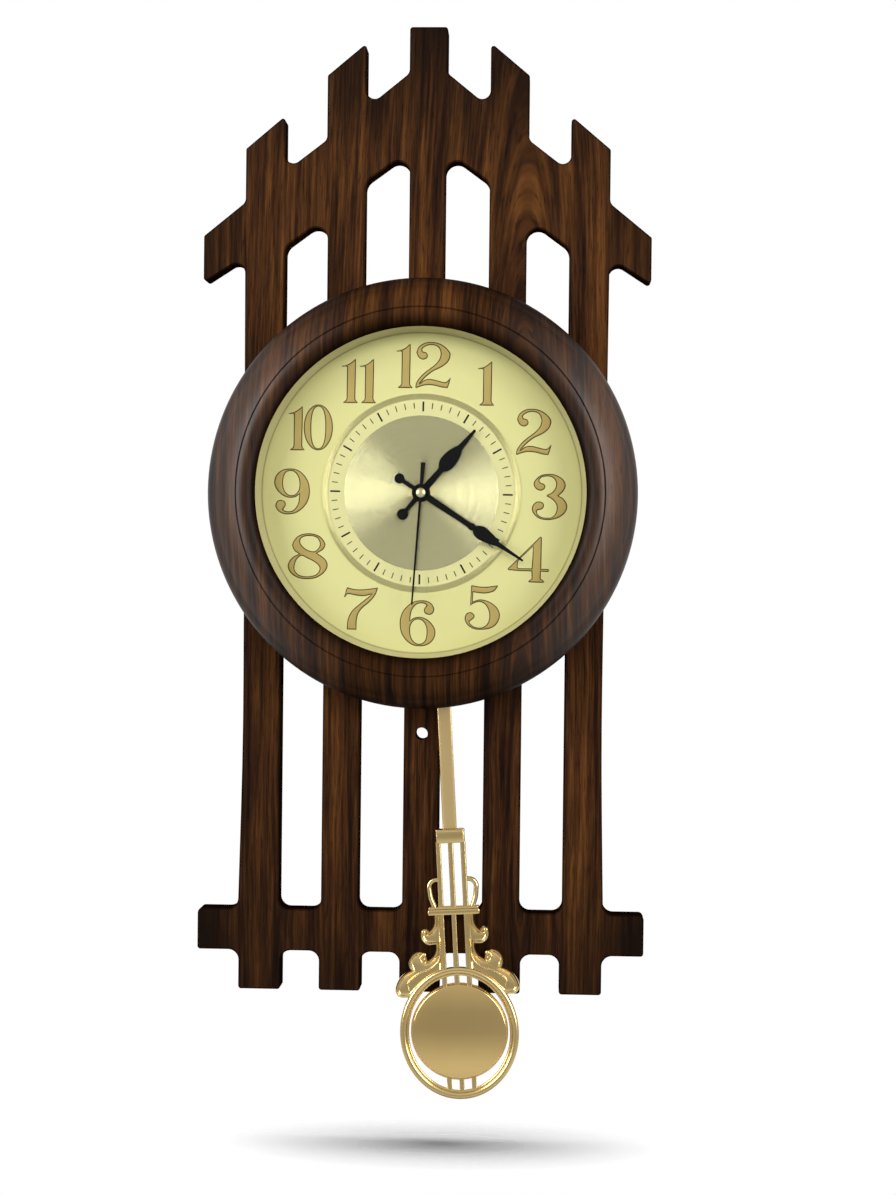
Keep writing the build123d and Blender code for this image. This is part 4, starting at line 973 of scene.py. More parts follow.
ONE = drawn(
    (0, 80.7),
    [(10, 82.5), (19, 86.7), (29, 95.3)],
    [(30.9, 94.5), (30.4, 9.5)],
    [(32, 5.5), (35.5, 1.8)],
    [(35.1, 0), (4.5, 0)],
    [(4.2, 1.8)],
    [(9.6, 5.8), (11.5, 9.5)],
    [(11.8, 78.2)],
    [(9.6, 79.1), (1.8, 78.5)],
)
TWO = drawn(
    (1.8, 76.9),
    [(6.4, 88.7), (19, 97.8), (34.6, 100.2), (52, 96.9), (66.5, 87.8), (75.6, 76), (75.2, 66.8), (70, 56),
     (57.4, 45.9), (39, 36.8), (24.6, 25.6), (15.5, 16.4), (9.5, 9.6)],
    [(19, 17.3), (32, 19.9), (48, 16.8), (64.7, 13.1), (71, 16.8), (75.6, 22.8)],
    [(76.7, 21.7)],
    [(74, 10.4), (70.5, 0.4)],
    [(57.4, 1.6), (43, 5.3), (28, 6.7), (15.5, 4.6), (2.2, 0)],
    [(0.4, 1.3)],
    [(1.8, 10.4), (10, 23.6), (22.8, 36), (39, 48.2), (50, 59.6), (54.6, 72.3), (52.8, 83.2),
     (46.4, 90.8), (34.6, 93.6), (22.8, 90.8), (15, 85), (15.8, 79.2)],
    [(22.8, 77.4), (26.8, 71.4), (24.6, 65), (16.4, 61.7), (7.3, 65.9), (1.8, 76.9)],
)
THREE = drawn(
    (3.2, 77.8),
    [(5.2, 84.2), (11, 91.4), (21, 97.9), (33.8, 100), (46.4, 99.4), (58, 95), (67.7, 87.8), (72.5, 77.8),
     (71.3, 68.8), (65.4, 59.7), (57.7, 52.9)],
    [(67, 47.5), (74, 38.9), (76.6, 29), (72.7, 17.2), (61, 6.8), (46.4, 1.4), (33, 0), (18.4, 2.3),
     (8.4, 8.6), (2, 16.7), (0.2, 24.9), (2, 31.7), (7.5, 38), (14.8, 40.3), (22.9, 38), (26.3, 32.6),
     (24.7, 26.2), (19.3, 22.4), (12.9, 21.5)],
    [(10.7, 19)],
    [(13, 12.6), (21, 6.8), (32, 5.2), (42.8, 6.2), (50.5, 12.9), (54, 23.5), (52.8, 33.5), (46.4, 42.5),
     (37.4, 48.9), (32.4, 51)],
    [(32, 52.5)],
    [(33.3, 54.8), (41, 58.4), (47.3, 64.3), (51.4, 72.4), (51.9, 81.4), (48, 89), (41, 93.6), (32, 94.6),
     (22, 93), (16.6, 88.3), (15.9, 83.7)],
    [(19.3, 80.4), (24.7, 78.9), (28.6, 73.8), (26.5, 67), (17.9, 63.5), (10, 66.5), (4.8, 72.4),
     (3.2, 77.8)],
)
FOUR = drawn(
    (69.9, 100),
    [(73.2, 98.2)],
    [(72.6, 30.1)],
    [(88.9, 29.3), (87.7, 23.4)],
    [(72, 24)],
    [(71.5, 8.8)],
    [(76, 6), (78.9, 2.8)],
    [(78.5, 0.2), (45.4, 0.8)],
    [(45.2, 3.6)],
    [(49.8, 6.9), (51.9, 8.8)],
    [(51.5, 24.4)],
    [(22.6, 25.1)],
    [(1, 27)],
    [(0, 30)],
    [(69.9, 100)],
    steps=3,
)
FOUR_EYE = [(54.4, 78.1), (53.4, 54), (51.7, 31), (23.4, 31), (21.3, 33), (21.9, 44.9), (27.6, 52.7)]
FIVE = drawn(
    (14.7, 96.5),
    [(29.8, 93.8), (46.6, 93.4), (59, 95), (71, 96.7)],
    [(71.6, 95.5)],
    [(64.4, 85), (52.9, 80.2), (38, 78.7), (17.8, 81.2)],
    [(16.8, 60.9)],
    [(23.5, 63.6), (32.9, 65.7), (46.6, 63.6), (59, 57.7), (70.7, 47.2), (76, 34.6), (75, 24),
     (67.6, 10.5), (55, 2.7), (36, 0), (21.4, 1), (8.8, 7.3), (1.5, 16.8), (0, 25.8), (3.6, 34.6),
     (12, 37.8), (19.7, 33.6), (21, 27.3), (16.2, 21.6)],
    [(10.3, 17.4)],
    [(12, 13), (19.3, 7), (29.8, 4.4), (40.3, 6), (49.7, 14), (53.3, 28.3), (51.2, 43), (43.4, 55.2),
     (32, 60.4), (20.4, 57.6), (11.5, 52)],
    [(13.4, 95.5)],
)
SIX = drawn(
    (22.4, 55.8),
    [(30, 61.5), (41.7, 63.8), (53, 61.8), (64.7, 54.5), (73.7, 43.6), (77.6, 32), (75.6, 19.2),
     (68.6, 9), (57, 1.9), (41.7, 0), (27.6, 2.6), (14.7, 11.5), (4.5, 25.6), (0, 42.3), (0.6, 60.3),
     (7, 76.9), (18.6, 89.7), (31.4, 97.4), (46.2, 100), (58.3, 98.7), (68.6, 92.9), (74.4, 83.3),
     (74, 76.9), (69.9, 70.5), (62.8, 68.6), (54.5, 71.8), (52.2, 79.5), (55.5, 85.9), (57.8, 89)],
    [(53.8, 92.2), (45.5, 93.4), (36.5, 91), (28.8, 83.3), (24.4, 73), (22.4, 55.8)],
)
SIX_EYE_POINTS = [(40.4, 58.3), (49.4, 55), (56.4, 44.9), (58.6, 32), (57, 17.9), (51.9, 8.6),
    (41.7, 5.2), (32.7, 8.6), (25.6, 17.9), (22.4, 32), (24, 46.2), (31.4, 55.8)]
SIX_EYE = smooth_line(SIX_EYE_POINTS, 4, True)
SEVEN = drawn(
    (7, 92.2),
    [(19.5, 88.9), (37.6, 87.8), (55.8, 89.5), (73.5, 92.2)],
    [(74, 91)],
    [(68.9, 76.7), (55.8, 60.4), (41.3, 48.2), (32.2, 35.8), (28.5, 21.3), (28, 0)],
    [(7, 0.4)],
    [(8.5, 21.3), (16.7, 39.5), (30.4, 52.9), (46.7, 66.2), (60.5, 77.6)],
    [(46.7, 73.6), (30.4, 74), (8.5, 77.6), (5.8, 75.5), (2.2, 70.4)],
    [(0, 72.2)],
    [(2.5, 77.6), (4, 84.9), (7, 92.2)],
)
EIGHT = drawn(
    (24.3, 55),
    [(14, 62), (9.6, 75.7), (22.3, 94), (45.7, 100), (69, 94), (81.8, 77.2), (77.7, 65.6), (63.9, 56.9)],
    [(82, 43.8), (87.3, 30.2), (80, 14.9), (62, 3), (42, 0), (22, 3), (5.7, 14), (0, 30.2), (9.4, 46.6),
     (24.3, 55)],
)
EIGHT_EYE_POINTS = [
    [(45.7, 94.2), (62.6, 90.6), (69.6, 79), (67.6, 68.9), (58.2, 61), (42.5, 63.9), (29.8, 74),
     (26.5, 82.3), (30.6, 90.4)],
    [(30.2, 50.8), (42, 45.7), (58.4, 37.4), (69.4, 26.7), (68.3, 17.5), (60.2, 9.6), (42, 6),
     (23.9, 9.6), (14.9, 21.2), (16.6, 35.7), (22, 45.7)],
]
EIGHT_EYES = [smooth_line(points, 4, True) for points in EIGHT_EYE_POINTS]


def turned_round(shapes, width):
    """A figure turned upside down, as a six makes a nine."""
    return [[(width - x, 100 - y) for x, y in shape] for shape in shapes]


# Width, outlines and eyes of each figure.
FIGURES = {
    "0": (63.6, [oval(31.8, 49.9, 31.8, 49.9, 40)], [oval(31.8, 49.9, 15.4, 45.4, 40, 2 / 2.4)]),
    "1": (35.5, [ONE], []),
    "2": (76.7, [TWO], []),
    "3": (76.6, [THREE], []),
    "4": (88.9, [FOUR], [FOUR_EYE]),
    "5": (76.0, [FIVE], []),
    "6": (77.6, [SIX], [SIX_EYE]),
    "7": (74.0, [SEVEN], []),
    "8": (87.3, [EIGHT], EIGHT_EYES),
    "9": (77.6, turned_round([SIX], 77.6), turned_round([SIX_EYE], 77.6)),
}
print("figures drawn:", " ".join(sorted(FIGURES)))

# %% Numerals on the dial

NUMERAL_UNIT = 0.27 * MM
NUMERAL_RING = 75.7 * MM
PRINT_X = -0.5 * MM
PRINT_Z = -0.7 * MM
PRINT_TURN = math.radians(0.7)
# Extra room between two figures, and what moves a number off its ring.
NUMERAL_GAP = {"10": -2.0, "11": 4.0, "12": 6.2}
NUMERAL_SHIFT = {"1": (-1.0 * MM, 0.0), "4": (-1.4 * MM, 1.0 * MM), "7": (4.2 * MM, -2.4 * MM)}
FOIL_STEPS = ((-0.52, 0.0), (-0.52, 0.10), (-0.72, 0.34), (-1.35, 0.42))
LINE_STEPS = ((0.0, 0.0), (0.0, 0.07), (-0.08, 0.10))
DIAL_FACE = face_of("dial_plate")


def numeral_outlines(text):
    """Outlines and holes of a number, centred on its own box, in metres."""
    outlines, holes, left = [], [], 0.0
    for mark in text:
        advance, shapes, eyes = FIGURES[mark]
        outlines += [[(left + x, y) for x, y in shape] for shape in shapes]
        holes += [[(left + x, y) for x, y in eye] for eye in eyes]
        left += advance + NUMERAL_GAP.get(text, 0.0)
    spots = [point for outline in outlines for point in outline]
    mid_x = (min(x for x, y in spots) + max(x for x, y in spots)) / 2
    mid_y = (min(y for x, y in spots) + max(y for x, y in spots)) / 2
    return [
        [[((x - mid_x) * NUMERAL_UNIT, (y - mid_y) * NUMERAL_UNIT) for x, y in shape] for shape in group]
        for group in (outlines, holes)
    ]


def numerals(name, steps, material):
    """All twelve numbers as one piece, raised by steps in millimetres."""
    profile = [(out * MM, rise * MM) for out, rise in steps]
    shell = ([], [])
    for hour in range(1, 13):
        turn = math.radians(30 * hour) + PRINT_TURN
        shift_x, shift_z = NUMERAL_SHIFT.get(str(hour), (0.0, 0.0))
        x = DIAL.x + PRINT_X + NUMERAL_RING * math.sin(turn) + shift_x
        z = DIAL.z + PRINT_Z + NUMERAL_RING * math.cos(turn) + shift_z
        outlines, holes = numeral_outlines(str(hour))
        raised, faces = relief(outlines, profile, holes, unfold=True)
        add(shell, [(x + u, DIAL_FACE - height, z + v) for u, v, height in raised], faces)
    thing = new_piece(name, tidy_mesh(name, *shell, False), material)
    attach(thing, "clock")
    print(name, len(shell[1]), "faces")


NUMERAL_LINE = moulded("numeral_outline", paint(64, 52, 15), paint(50, 41, 11), 0.45)
numerals("numeral_foil", FOIL_STEPS, NUMERAL_GOLD)
numerals("numeral_line", LINE_STEPS, NUMERAL_LINE)

# %% [markdown]
# ## Minute marks
#
# Sixty printed marks stand round the track, every fifth one longer and broader. A loop could copy
# them, but a Geometry Nodes tree states the rule once: one small bar, pushed out to its radius,
# turned step by step about the dial axis, leaving out each place that a longer mark takes.

# %% A tree for marks


def node_tree(name, inputs):
    """A geometry tree with named inputs; returns those, a node maker and the way out."""
    tree = bpy.data.node_groups.new(name, "GeometryNodeTree")
    for label, kind in inputs.items():
        tree.interface.new_socket(label, in_out="INPUT", socket_type="NodeSocket" + kind)
    tree.interface.new_socket("Geometry", in_out="OUTPUT", socket_type="NodeSocketGeometry")
    entry = tree.nodes.new("NodeGroupInput")
    given = {label: Flow(tree, entry.outputs[label]) for label in inputs}

    def make(kind, sockets=None, output=0):
        node = tree.nodes.new(kind)
        for key, value in (sockets or {}).items():
            plug(tree, node.inputs[key], value)
        return Flow(tree, node.outputs[output])

    def painted(shape):
        """Set the finish, hand the shape out and return the whole tree."""
        last = make("GeometryNodeSetMaterial", {"Geometry": shape, "Material": given["Finish"]})
        tree.links.new(last.socket, tree.nodes.new("NodeGroupOutput").inputs[0])
        return tree

    return given, make, painted


MARK_INPUTS = {
    "Count": "Int",
    "Skip every": "Int",
    "Radius": "Float",
    "Length": "Float",
    "Width": "Float",
    "Thickness": "Float",
    "Turn": "Float",
    "Centre": "Vector",
    "Finish": "Material",
}


def marks_tree():
    given, make, painted = node_tree("dial_marks", MARK_INPUTS)
    spots = make("GeometryNodeMeshLine", {"Count": given["Count"], "Offset": (0, 0, 0)})
    size = make("ShaderNodeCombineXYZ", {0: given["Width"], 1: given["Thickness"], 2: given["Length"]})
    block = make("GeometryNodeMeshCube", {"Size": size})
    push = make("ShaderNodeCombineXYZ", {2: given["Radius"]})
    raised = make("GeometryNodeTransform", {"Geometry": block, "Translation": push})
    number = make("GeometryNodeInputIndex") + 1.0
    turn = number * (2 * math.pi / given["Count"]) + given["Turn"]
    spin = make("ShaderNodeCombineXYZ", {1: turn})
    wanted = number % given["Skip every"] > 0.5
    seats = {"Points": spots, "Selection": wanted, "Instance": raised, "Rotation": spin}
    solid = make("GeometryNodeRealizeInstances", {0: make("GeometryNodeInstanceOnPoints", seats)})
    return painted(make("GeometryNodeTransform", {"Geometry": solid, "Translation": given["Centre"]}))


def from_tree(name, tree, values, material, seats=()):
    """Run a tree with its inputs set by identifier, and keep the result as a plain mesh piece."""
    base = bpy.data.meshes.new(name + "_host")
    base.from_pydata(list(seats), [], [])
    host = bpy.data.objects.new(name + "_host", base)
    scene.collection.objects.link(host)
    modifier = host.modifiers.new(name, "NODES")
    modifier.node_group = tree
    for item in tree.interface.items_tree:
        if item.in_out == "INPUT" and item.name in values:
            modifier[item.identifier] = values[item.name]
    mesh = plain_mesh(host)
    bpy.data.objects.remove(host)
    thing = new_piece(name, mesh, material)
    print(name, len(mesh.polygons), "faces")
    return thing


TRACK_TOP = DIAL_FACE - 0.4 * MM
PRINT_BLACK = moulded("printed_black", paint(12, 12, 10), paint(6, 6, 5), 0.55)
MARKS = marks_tree()
# Count, places left out, then radius, length and width in millimetres.
MARK_SIZES = {"hour_marks": (12, 61, 50.7, 5.8, 1.0), "minute_marks": (60, 5, 51.3, 3.4, 0.50)}
for name, (count, skip, radius, length, width) in MARK_SIZES.items():
    values = {
        "Count": count,
        "Skip every": skip,
        "Radius": radius * MM,
        "Length": length * MM,
        "Width": width * MM,
        "Thickness": 0.16 * MM,
        "Turn": PRINT_TURN,
        "Centre": (DIAL.x, TRACK_TOP, DIAL.z),
        "Finish": PRINT_BLACK,
    }
    marks = from_tree(name, MARKS, values, PRINT_BLACK)
    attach(marks, "clock")

# %% [markdown]
# ## Screws
#
# Screws hold the case to the board, the dial board to the case and the hanger to its recess. Only
# their heads show, from behind, each with a worn cross recess. One screw is turned and slotted for
# each set, and a tree sets copies of it on the spots of the solids that it stands for.

# %% Screw seats and copies


def screw_spots(node):
    """Centre and box of each separate screw in a node, read from a merged copy of its mesh."""
    work = bmesh.new()
    work.from_mesh(NODES[node].data)
    bmesh.ops.remove_doubles(work, verts=work.verts, dist=1e-6)
    spots, seen = [], set()
    for vert in work.verts:
        if vert in seen:
            continue
        group, edge = [vert], [vert]
        seen.add(vert)
        while edge:
            for link in edge.pop().link_edges:
                for other in link.verts:
                    if other not in seen:
                        seen.add(other)
                        group.append(other)
                        edge.append(other)
        sides = [[point.co[axis] for point in group] for axis in range(3)]
        spots.append((Vector([min(side) for side in sides]), Vector([max(side) for side in sides])))
    work.free()
    return spots


def screw_piece(name, head, thick, shank, length):
    """One screw with its head at the origin, its tip towards -Y and a cross cut in the head."""
    tip = max(length - 2.2 * shank, thick)
    profile = [(0.0, 0.0), (0.7 * head, 0.0), (0.93 * head, -0.12 * thick), (head, -0.4 * thick)]
    profile += [(head, -thick), (shank, -thick), (shank, -tip), (0.35 * shank, -length), (0.0, -length)]
    screw = new_piece(name, lathe(name, profile, Vector((0, 0, 0)), steps=28), ZINC)
    thin, long = 0.13 * head, 0.62 * head
    for half_x, half_z in ((thin, long), (long, thin)):
        cut_block(screw, (-half_x, half_x), (-0.6 * thick, 0.2 * thick), (-half_z, half_z))
    crisp(screw.data, degrees=35)
    return screw


SCREW_INPUTS = {
    "Seats": "Geometry",
    "Screw": "Object",
    "Spread": "Float",
    "Seed": "Int",
    "Finish": "Material",
}


def screws_tree():
    given, make, painted = node_tree("screw_set", SCREW_INPUTS)
    shape = make("GeometryNodeObjectInfo", {"Object": given["Screw"]}, "Geometry")
    turn = make("FunctionNodeRandomValue", {"Seed": given["Seed"]}, 1)
    spin = make("ShaderNodeCombineXYZ", {1: turn * given["Spread"]})
    seats = {"Points": given["Seats"], "Instance": shape, "Rotation": spin}
    return painted(make("GeometryNodeRealizeInstances", {0: make("GeometryNodeInstanceOnPoints", seats)}))


SCREWS = screws_tree()
# Radius of the shank and thickness of the head in millimetres.
SCREW_SIZES = {"case_screws": (2.0, 2.2), "backing_screws": (1.2, 1.8), "hanger_screws": (1.5, 1.4)}
for node, (shank, thick) in SCREW_SIZES.items():
    spots = screw_spots(node)
    low, high = spots[0]
    pattern = screw_piece(node + "_pattern", (high.x - low.x) / 2, thick * MM, shank * MM, high.y - low.y)
    seats = [((low.x + high.x) / 2, high.y, (low.z + high.z) / 2) for low, high in spots]
    values = {"Screw": pattern, "Spread": math.pi, "Seed": 7, "Finish": ZINC}
    heads = from_tree(node.replace("screws", "screw_set"), SCREWS, values, ZINC, seats)
    bpy.data.objects.remove(pattern)
    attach(heads, "clock")
    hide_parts(node)

# %% [markdown]
# ## The lyre
#
# The pendulum's lyre is one casting: strings between a cap and a crossbar, loops above, scrolls and
# leaves below, and an oval ring round the bob. Sculpting it would lose the crisp rims, so the flat
# scrollwork is a relief with a raised bead along its edge, and the strings, loops and ring are bent
# tubes. All of it is drawn upright from the bob's centre and then swung to where the frame holds it,
# and so is the rod above it, a strip whose edges are rolled.

# %% Swung pendulum frame

PIVOT = middle("pivot_pin")
BOB = middle("bob_disc")
lean = Vector((BOB.x - PIVOT.x, BOB.z - PIVOT.z))
BOB_L = lean.length
SWING = math.atan2(lean.x, -lean.y)
LYRE_BACK = back_of("lyre_frame")
LYRE_FACE = face_of("lyre_frame")
WIRE_Y = (LYRE_BACK + LYRE_FACE) / 2


def hung(u, v, y):
    """A point u to the right of and v above the bob's centre, at depth y, on the swung pendulum."""
    drop = BOB_L - v
    x = PIVOT.x + u * math.cos(SWING) + drop * math.sin(SWING)
    z = PIVOT.z + u * math.sin(SWING) - drop * math.cos(SWING)
    return (x, y, z)


print("pendulum length", round(BOB_L, 4), "swing", round(math.degrees(SWING), 2))

# %% Wire and scrollwork

CROSS_V = (70.2, 75.6)
OVAL_V = -0.6
OVAL_HALF = (35.7, 39.8)
STRING_GAP = 7.4
CAP_V = (113.3, 121.9)
STRING_R = 1.6
TAIL_R = 1.5
LOOP_R = 1.5
COLLAR_R = 1.7
SQUARED_WIRE = 0.5


def rod_mesh(points, radius, steps=14, closed=False, power=1.0):
    """Wire through points (u, v, y), u and v in millimetres: round, or squared by a power."""
    verts = []
    count = len(points)
    for index, (u, v, y) in enumerate(points):
        before = points[index - 1] if closed or index else points[0]
        after = points[(index + 1) % count] if closed or index < count - 1 else points[-1]
        run = math.hypot(after[0] - before[0], after[1] - before[1]) or 1.0
        side = (-(after[1] - before[1]) / run, (after[0] - before[0]) / run)
        for k in range(steps):
            turn = 2 * math.pi * k / steps
            out = radius * squared(math.cos(turn), power)
            deep = y + radius * squared(math.sin(turn), power) * MM
            verts.append(hung((u + side[0] * out) * MM, (v + side[1] * out) * MM, deep))
    faces = ring_faces(count, steps, closed)
    if not closed:
        faces.append(tuple(range(steps)))
        faces.append(tuple((count - 1) * steps + k for k in range(steps)))
    return verts, faces


def scroll_outline():
    """Right-hand scrollwork of the lyre, in millimetres from the bob's centre."""
    return [
        (7.0, 71.0),
        (12.15, 71.0),
        (12.15, 67.8),
        *arc((12.15, 67.8), (13.1, 63.6), (15.3, 61.2), 8)[1:],
        *arc((15.3, 61.2), (18.0, 63.1), (20.7, 60.4), 10)[1:],
        *arc((20.7, 60.4), (19.9, 55.0), (15.4, 52.1), 10)[1:],
        (11.9, 52.4),
        *arc((11.9, 52.4), (13.0, 47.1), (16.9, 43.5), 10)[1:],
        *arc((16.9, 43.5), (18.3, 47.6), (22.5, 49.4), 10)[1:],
        *arc((22.5, 49.4), (27.7, 45.3), (27.5, 38.1), 12)[1:],
        *arc((27.5, 38.1), (33.8, 34.0), (37.0, 27.6), 10)[1:],
        *arc((37.0, 27.6), (36.0, 23.0), (32.2, 21.5), 8)[1:],
        (27.4, 21.6),
        *arc((27.4, 21.6), (17.6, 30.4), (7.0, 35.8), 14)[1:],
    ]


RIDGE = [(29.3, 25.9), (29.5, 30.2), (26.6, 33.1), (21.9, 36.3)]
RIDGE += [(15.4, 38.6), (10.9, 42.2), (9.3, 46.2), (9.2, 51.0)]
CURL = [(14.6, 43.2), (17.2, 41.6), (20.2, 42.2), (21.4, 44.4), (20.3, 46.4), (18.4, 47.4)]
HOOK = [(13.0, 59.0), (15.6, 58.2), (17.9, 59.0), (18.8, 60.8)]
BOSSES = [(18.6, 60.6, 1.7), (18.9, 47.0, 1.6), (14.6, 72.3, 1.3)]


def flat_relief(shell, outlines, steps, base):
    """Scrollwork standing on a depth, raised towards the viewer by steps in millimetres."""
    verts, faces = relief(outlines, steps)
    add(shell, [hung(u * MM, v * MM, base - height * MM) for u, v, height in verts], faces)


def plain_bar(shell, half, low, high, back, front, bevel):
    """A bar with rounded corners across the lyre."""
    outline = []
    for cu, cv, first in ((half - bevel, high - bevel, 0), (-half + bevel, high - bevel, 90),
                          (-half + bevel, low + bevel, 180), (half - bevel, low + bevel, 270)):
        for k in range(5):
            turn = math.radians(first + 22.5 * k)
            outline.append((cu + bevel * math.cos(turn), cv + bevel * math.sin(turn)))
    rise = (back - front) / MM
    steps = [(-0.5, 0.0), (0.0, 0.5), (0.0, rise - 0.9), (-0.35, rise - 0.25), (-0.9, rise)]
    flat_relief(shell, [outline], steps, back)


def swell(points, height, radius):
    """A raised line on the scrollwork."""
    line = [(u, v, SCROLL_BACK - height * MM) for u, v in smooth_line(points, 4)]
    return rod_mesh(line, radius, 10)


SCROLL_BACK = LYRE_BACK - 0.7 * MM
print("scrollwork of", len(scroll_outline()), "points on each side")

# %% The casting put together

lyre = ([], [])
BEAD = [(-0.3, 0.0), (0.0, 0.3), (0.0, 1.9), (-0.25, 2.8), (-0.75, 3.5)]
BEAD += [(-1.3, 3.6), (-1.8, 3.2), (-2.2, 2.6), (-3.0, 2.3)]
for side in (1, -1):
    outline = [(side * u, v) for u, v in scroll_outline()][::side]
    flat_relief(lyre, [outline], BEAD, SCROLL_BACK)
    for line, radius in ((RIDGE, 0.65), (CURL, 0.7), (HOOK, 0.6)):
        add(lyre, *swell([(side * u, v) for u, v in line], 2.7, radius))
    for u, v, size in BOSSES:
        steps = [(0.0, 0.0), (-0.1 * size, 3.0), (-0.35 * size, 3.6), (-0.65 * size, 3.9)]
        flat_relief(lyre, [ball(side * u, v, size, 20)], steps, SCROLL_BACK)
    loop = arc((STRING_GAP, 91.0), (12.4, 90.6), (14.1, 86.0), 12)
    loop += smooth_line([loop[-1], (13.4, 80.6), (11.4, 75.0)], 8)[1:]
    add(lyre, *rod_mesh([(side * u, v, WIRE_Y) for u, v in loop], LOOP_R))
for u in (-STRING_GAP, 0.0, STRING_GAP):
    string = [(u, v, WIRE_Y) for v in (CAP_V[0] + 1, 95.0, 60.0, 36.8)]
    add(lyre, *rod_mesh(string, STRING_R, 16, power=SQUARED_WIRE))
    for ends in ((27.0, 36.8), (-38.2, -27.0)):
        tail = [(u, v, WIRE_Y + 0.6 * MM) for v in ends]
        add(lyre, *rod_mesh(tail, TAIL_R, 16, power=SQUARED_WIRE))
    for v in (CROSS_V[1] + 0.7, OVAL_HALF[1] + OVAL_V + 1.4):
        collar = [(u, v + rise, WIRE_Y) for rise in (-0.7, -0.4, 0.4, 0.7)]
        add(lyre, *rod_mesh(collar, COLLAR_R))
# Depth, then inset from the oval, radius of the wire in millimetres, and flats round it.
RINGS = (
    (LYRE_FACE + 2.1 * MM, 2.1, 2.1, 20),
    (LYRE_FACE + 2.5 * MM, 4.4, 1.1, 16),
    (LYRE_BACK - 1.7 * MM, 2.9, 1.7, 16),
)
for depth, inset, radius, steps in RINGS:
    ring = oval(0.0, OVAL_V, OVAL_HALF[0] - inset, OVAL_HALF[1] - inset, 96)
    add(lyre, *rod_mesh([(u, v, depth) for u, v in ring], radius, steps, True))
# Half width, foot, head, set-back behind and before, and bevel, in millimetres.
BARS = (
    (15.8, CROSS_V[0], CROSS_V[1] - 1.7, 0.3, 0.3, 1.4),
    (15.2, CROSS_V[1] - 2.0, CROSS_V[1], 0.6, 0.7, 0.8),
    (8.6, CAP_V[0], CAP_V[1], 0.3, 0.3, 0.9),
    (8.8, CAP_V[1] - 2.2, CAP_V[1], 0.2, 0.1, 0.9),
)
for half, foot, head, behind, before, bevel in BARS:
    plain_bar(lyre, half, foot, head, LYRE_BACK - behind * MM, LYRE_FACE + before * MM, bevel)
plate = ball(0.0, 0.0, 29.2, 72)
flat_relief(lyre, [plate], [(0.0, 0.0), (0.0, 1.0), (-0.4, 1.4)], LYRE_BACK)
lyre_casting = new_piece("lyre_casting", tidy_mesh("lyre_casting", *lyre), CAST_GOLD)
crisp(lyre_casting.data)
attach(lyre_casting, "pendulum")
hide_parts("lyre_frame")
print("lyre", len(lyre_casting.data.polygons), "faces")

# %% Rod with rolled edges

ROD_HALF = 4.2
ROD_V = (BOB_L / MM - 221.4, BOB_L / MM - 62.0)
ROD_HOLE = (BOB_L / MM - 66.0, 1.5)
ROLLED = [(0.0, 0.0), (0.0, 0.25), (-0.12, 0.62), (-0.4, 0.88), (-0.8, 1.06), (-1.3, 1.16), (-1.9, 1.2)]
strip = [(ROD_HALF, ROD_V[0]), (ROD_HALF, ROD_V[1]), (-ROD_HALF, ROD_V[1]), (-ROD_HALF, ROD_V[0])]
rod_verts, rod_faces = relief([strip], ROLLED, [ball(0.0, *ROD_HOLE)])
ROD_BACK = back_of("pendulum_rod")
rod_places = [hung(u * MM, v * MM, ROD_BACK - height * MM) for u, v, height in rod_verts]
rolled_rod = new_piece("rolled_rod", tidy_mesh("rolled_rod", rod_places, rod_faces), ROD_GOLD)
crisp(rolled_rod.data)
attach(rolled_rod, "pendulum")
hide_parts("pendulum_rod")
print("rod", len(rolled_rod.data.polygons), "faces, length", round(ROD_V[1] - ROD_V[0], 1), "mm")

# %% [markdown]
# ## Bob, centre cap and second hand
#
# The bob is a spun disc with a low dome and a turned-down rim, and a small domed cap covers the end
# of the arbor. Both are turned shapes, so the lathe makes them with as many steps as the eye needs.
# The second hand is a thin pressing, so a relief gives its blade the soft edge of a stamped strip.

# %% Bob and cap


def dome(size, edge, crown, steps):
    """Profile of a low dome, from the rim to the crown."""
    rise = abs(crown - edge)
    sphere = (size**2 + rise**2) / (2 * rise)
    sign = 1 if crown > edge else -1
    points = []
    for k in range(steps + 1):
        out = size * math.cos(math.pi / 2 * k / steps)
        points.append((out, crown - sign * (sphere - math.sqrt(max(sphere**2 - out**2, 0.0)))))
    return points


BOB_R = half_width("bob_disc")
BOB_BACK = back_of("bob_disc")
bob_profile = [(0.0, BOB_BACK), (BOB_R - 0.3 * MM, BOB_BACK), (BOB_R, BOB_BACK - 0.4 * MM)]
bob_profile += [(BOB_R, BOB_BACK - 1.4 * MM), (BOB_R - 0.25 * MM, BOB_BACK - 1.9 * MM)]
bob_profile += dome(BOB_R - 0.7 * MM, BOB_BACK - 2.2 * MM, face_of("bob_disc"), steps=26)
bob_dome = new_piece("bob_dome", lathe("bob_dome", bob_profile, BOB, steps=128), BOB_GOLD)
crisp(bob_dome.data)
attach(bob_dome, "pendulum")
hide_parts("bob_disc")
CAP_R = half_width("second_cap") - 0.42 * MM
CAP_BACK = back_of("second_cap")
cap_profile = [(0.0, CAP_BACK), (CAP_R, CAP_BACK), (CAP_R, CAP_BACK - 0.4 * MM)]
cap_profile += dome(CAP_R - 0.1 * MM, CAP_BACK - 0.5 * MM, face_of("second_cap"), steps=12)
cap_dome = new_piece("cap_dome", lathe("cap_dome", cap_profile, middle("second_cap"), steps=48), PALE_GOLD)
crisp(cap_dome.data)
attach(cap_dome, "second")
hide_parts("second_cap")
print("bob radius", round(BOB_R, 4), "cap radius", round(CAP_R, 4))

# %% Second hand

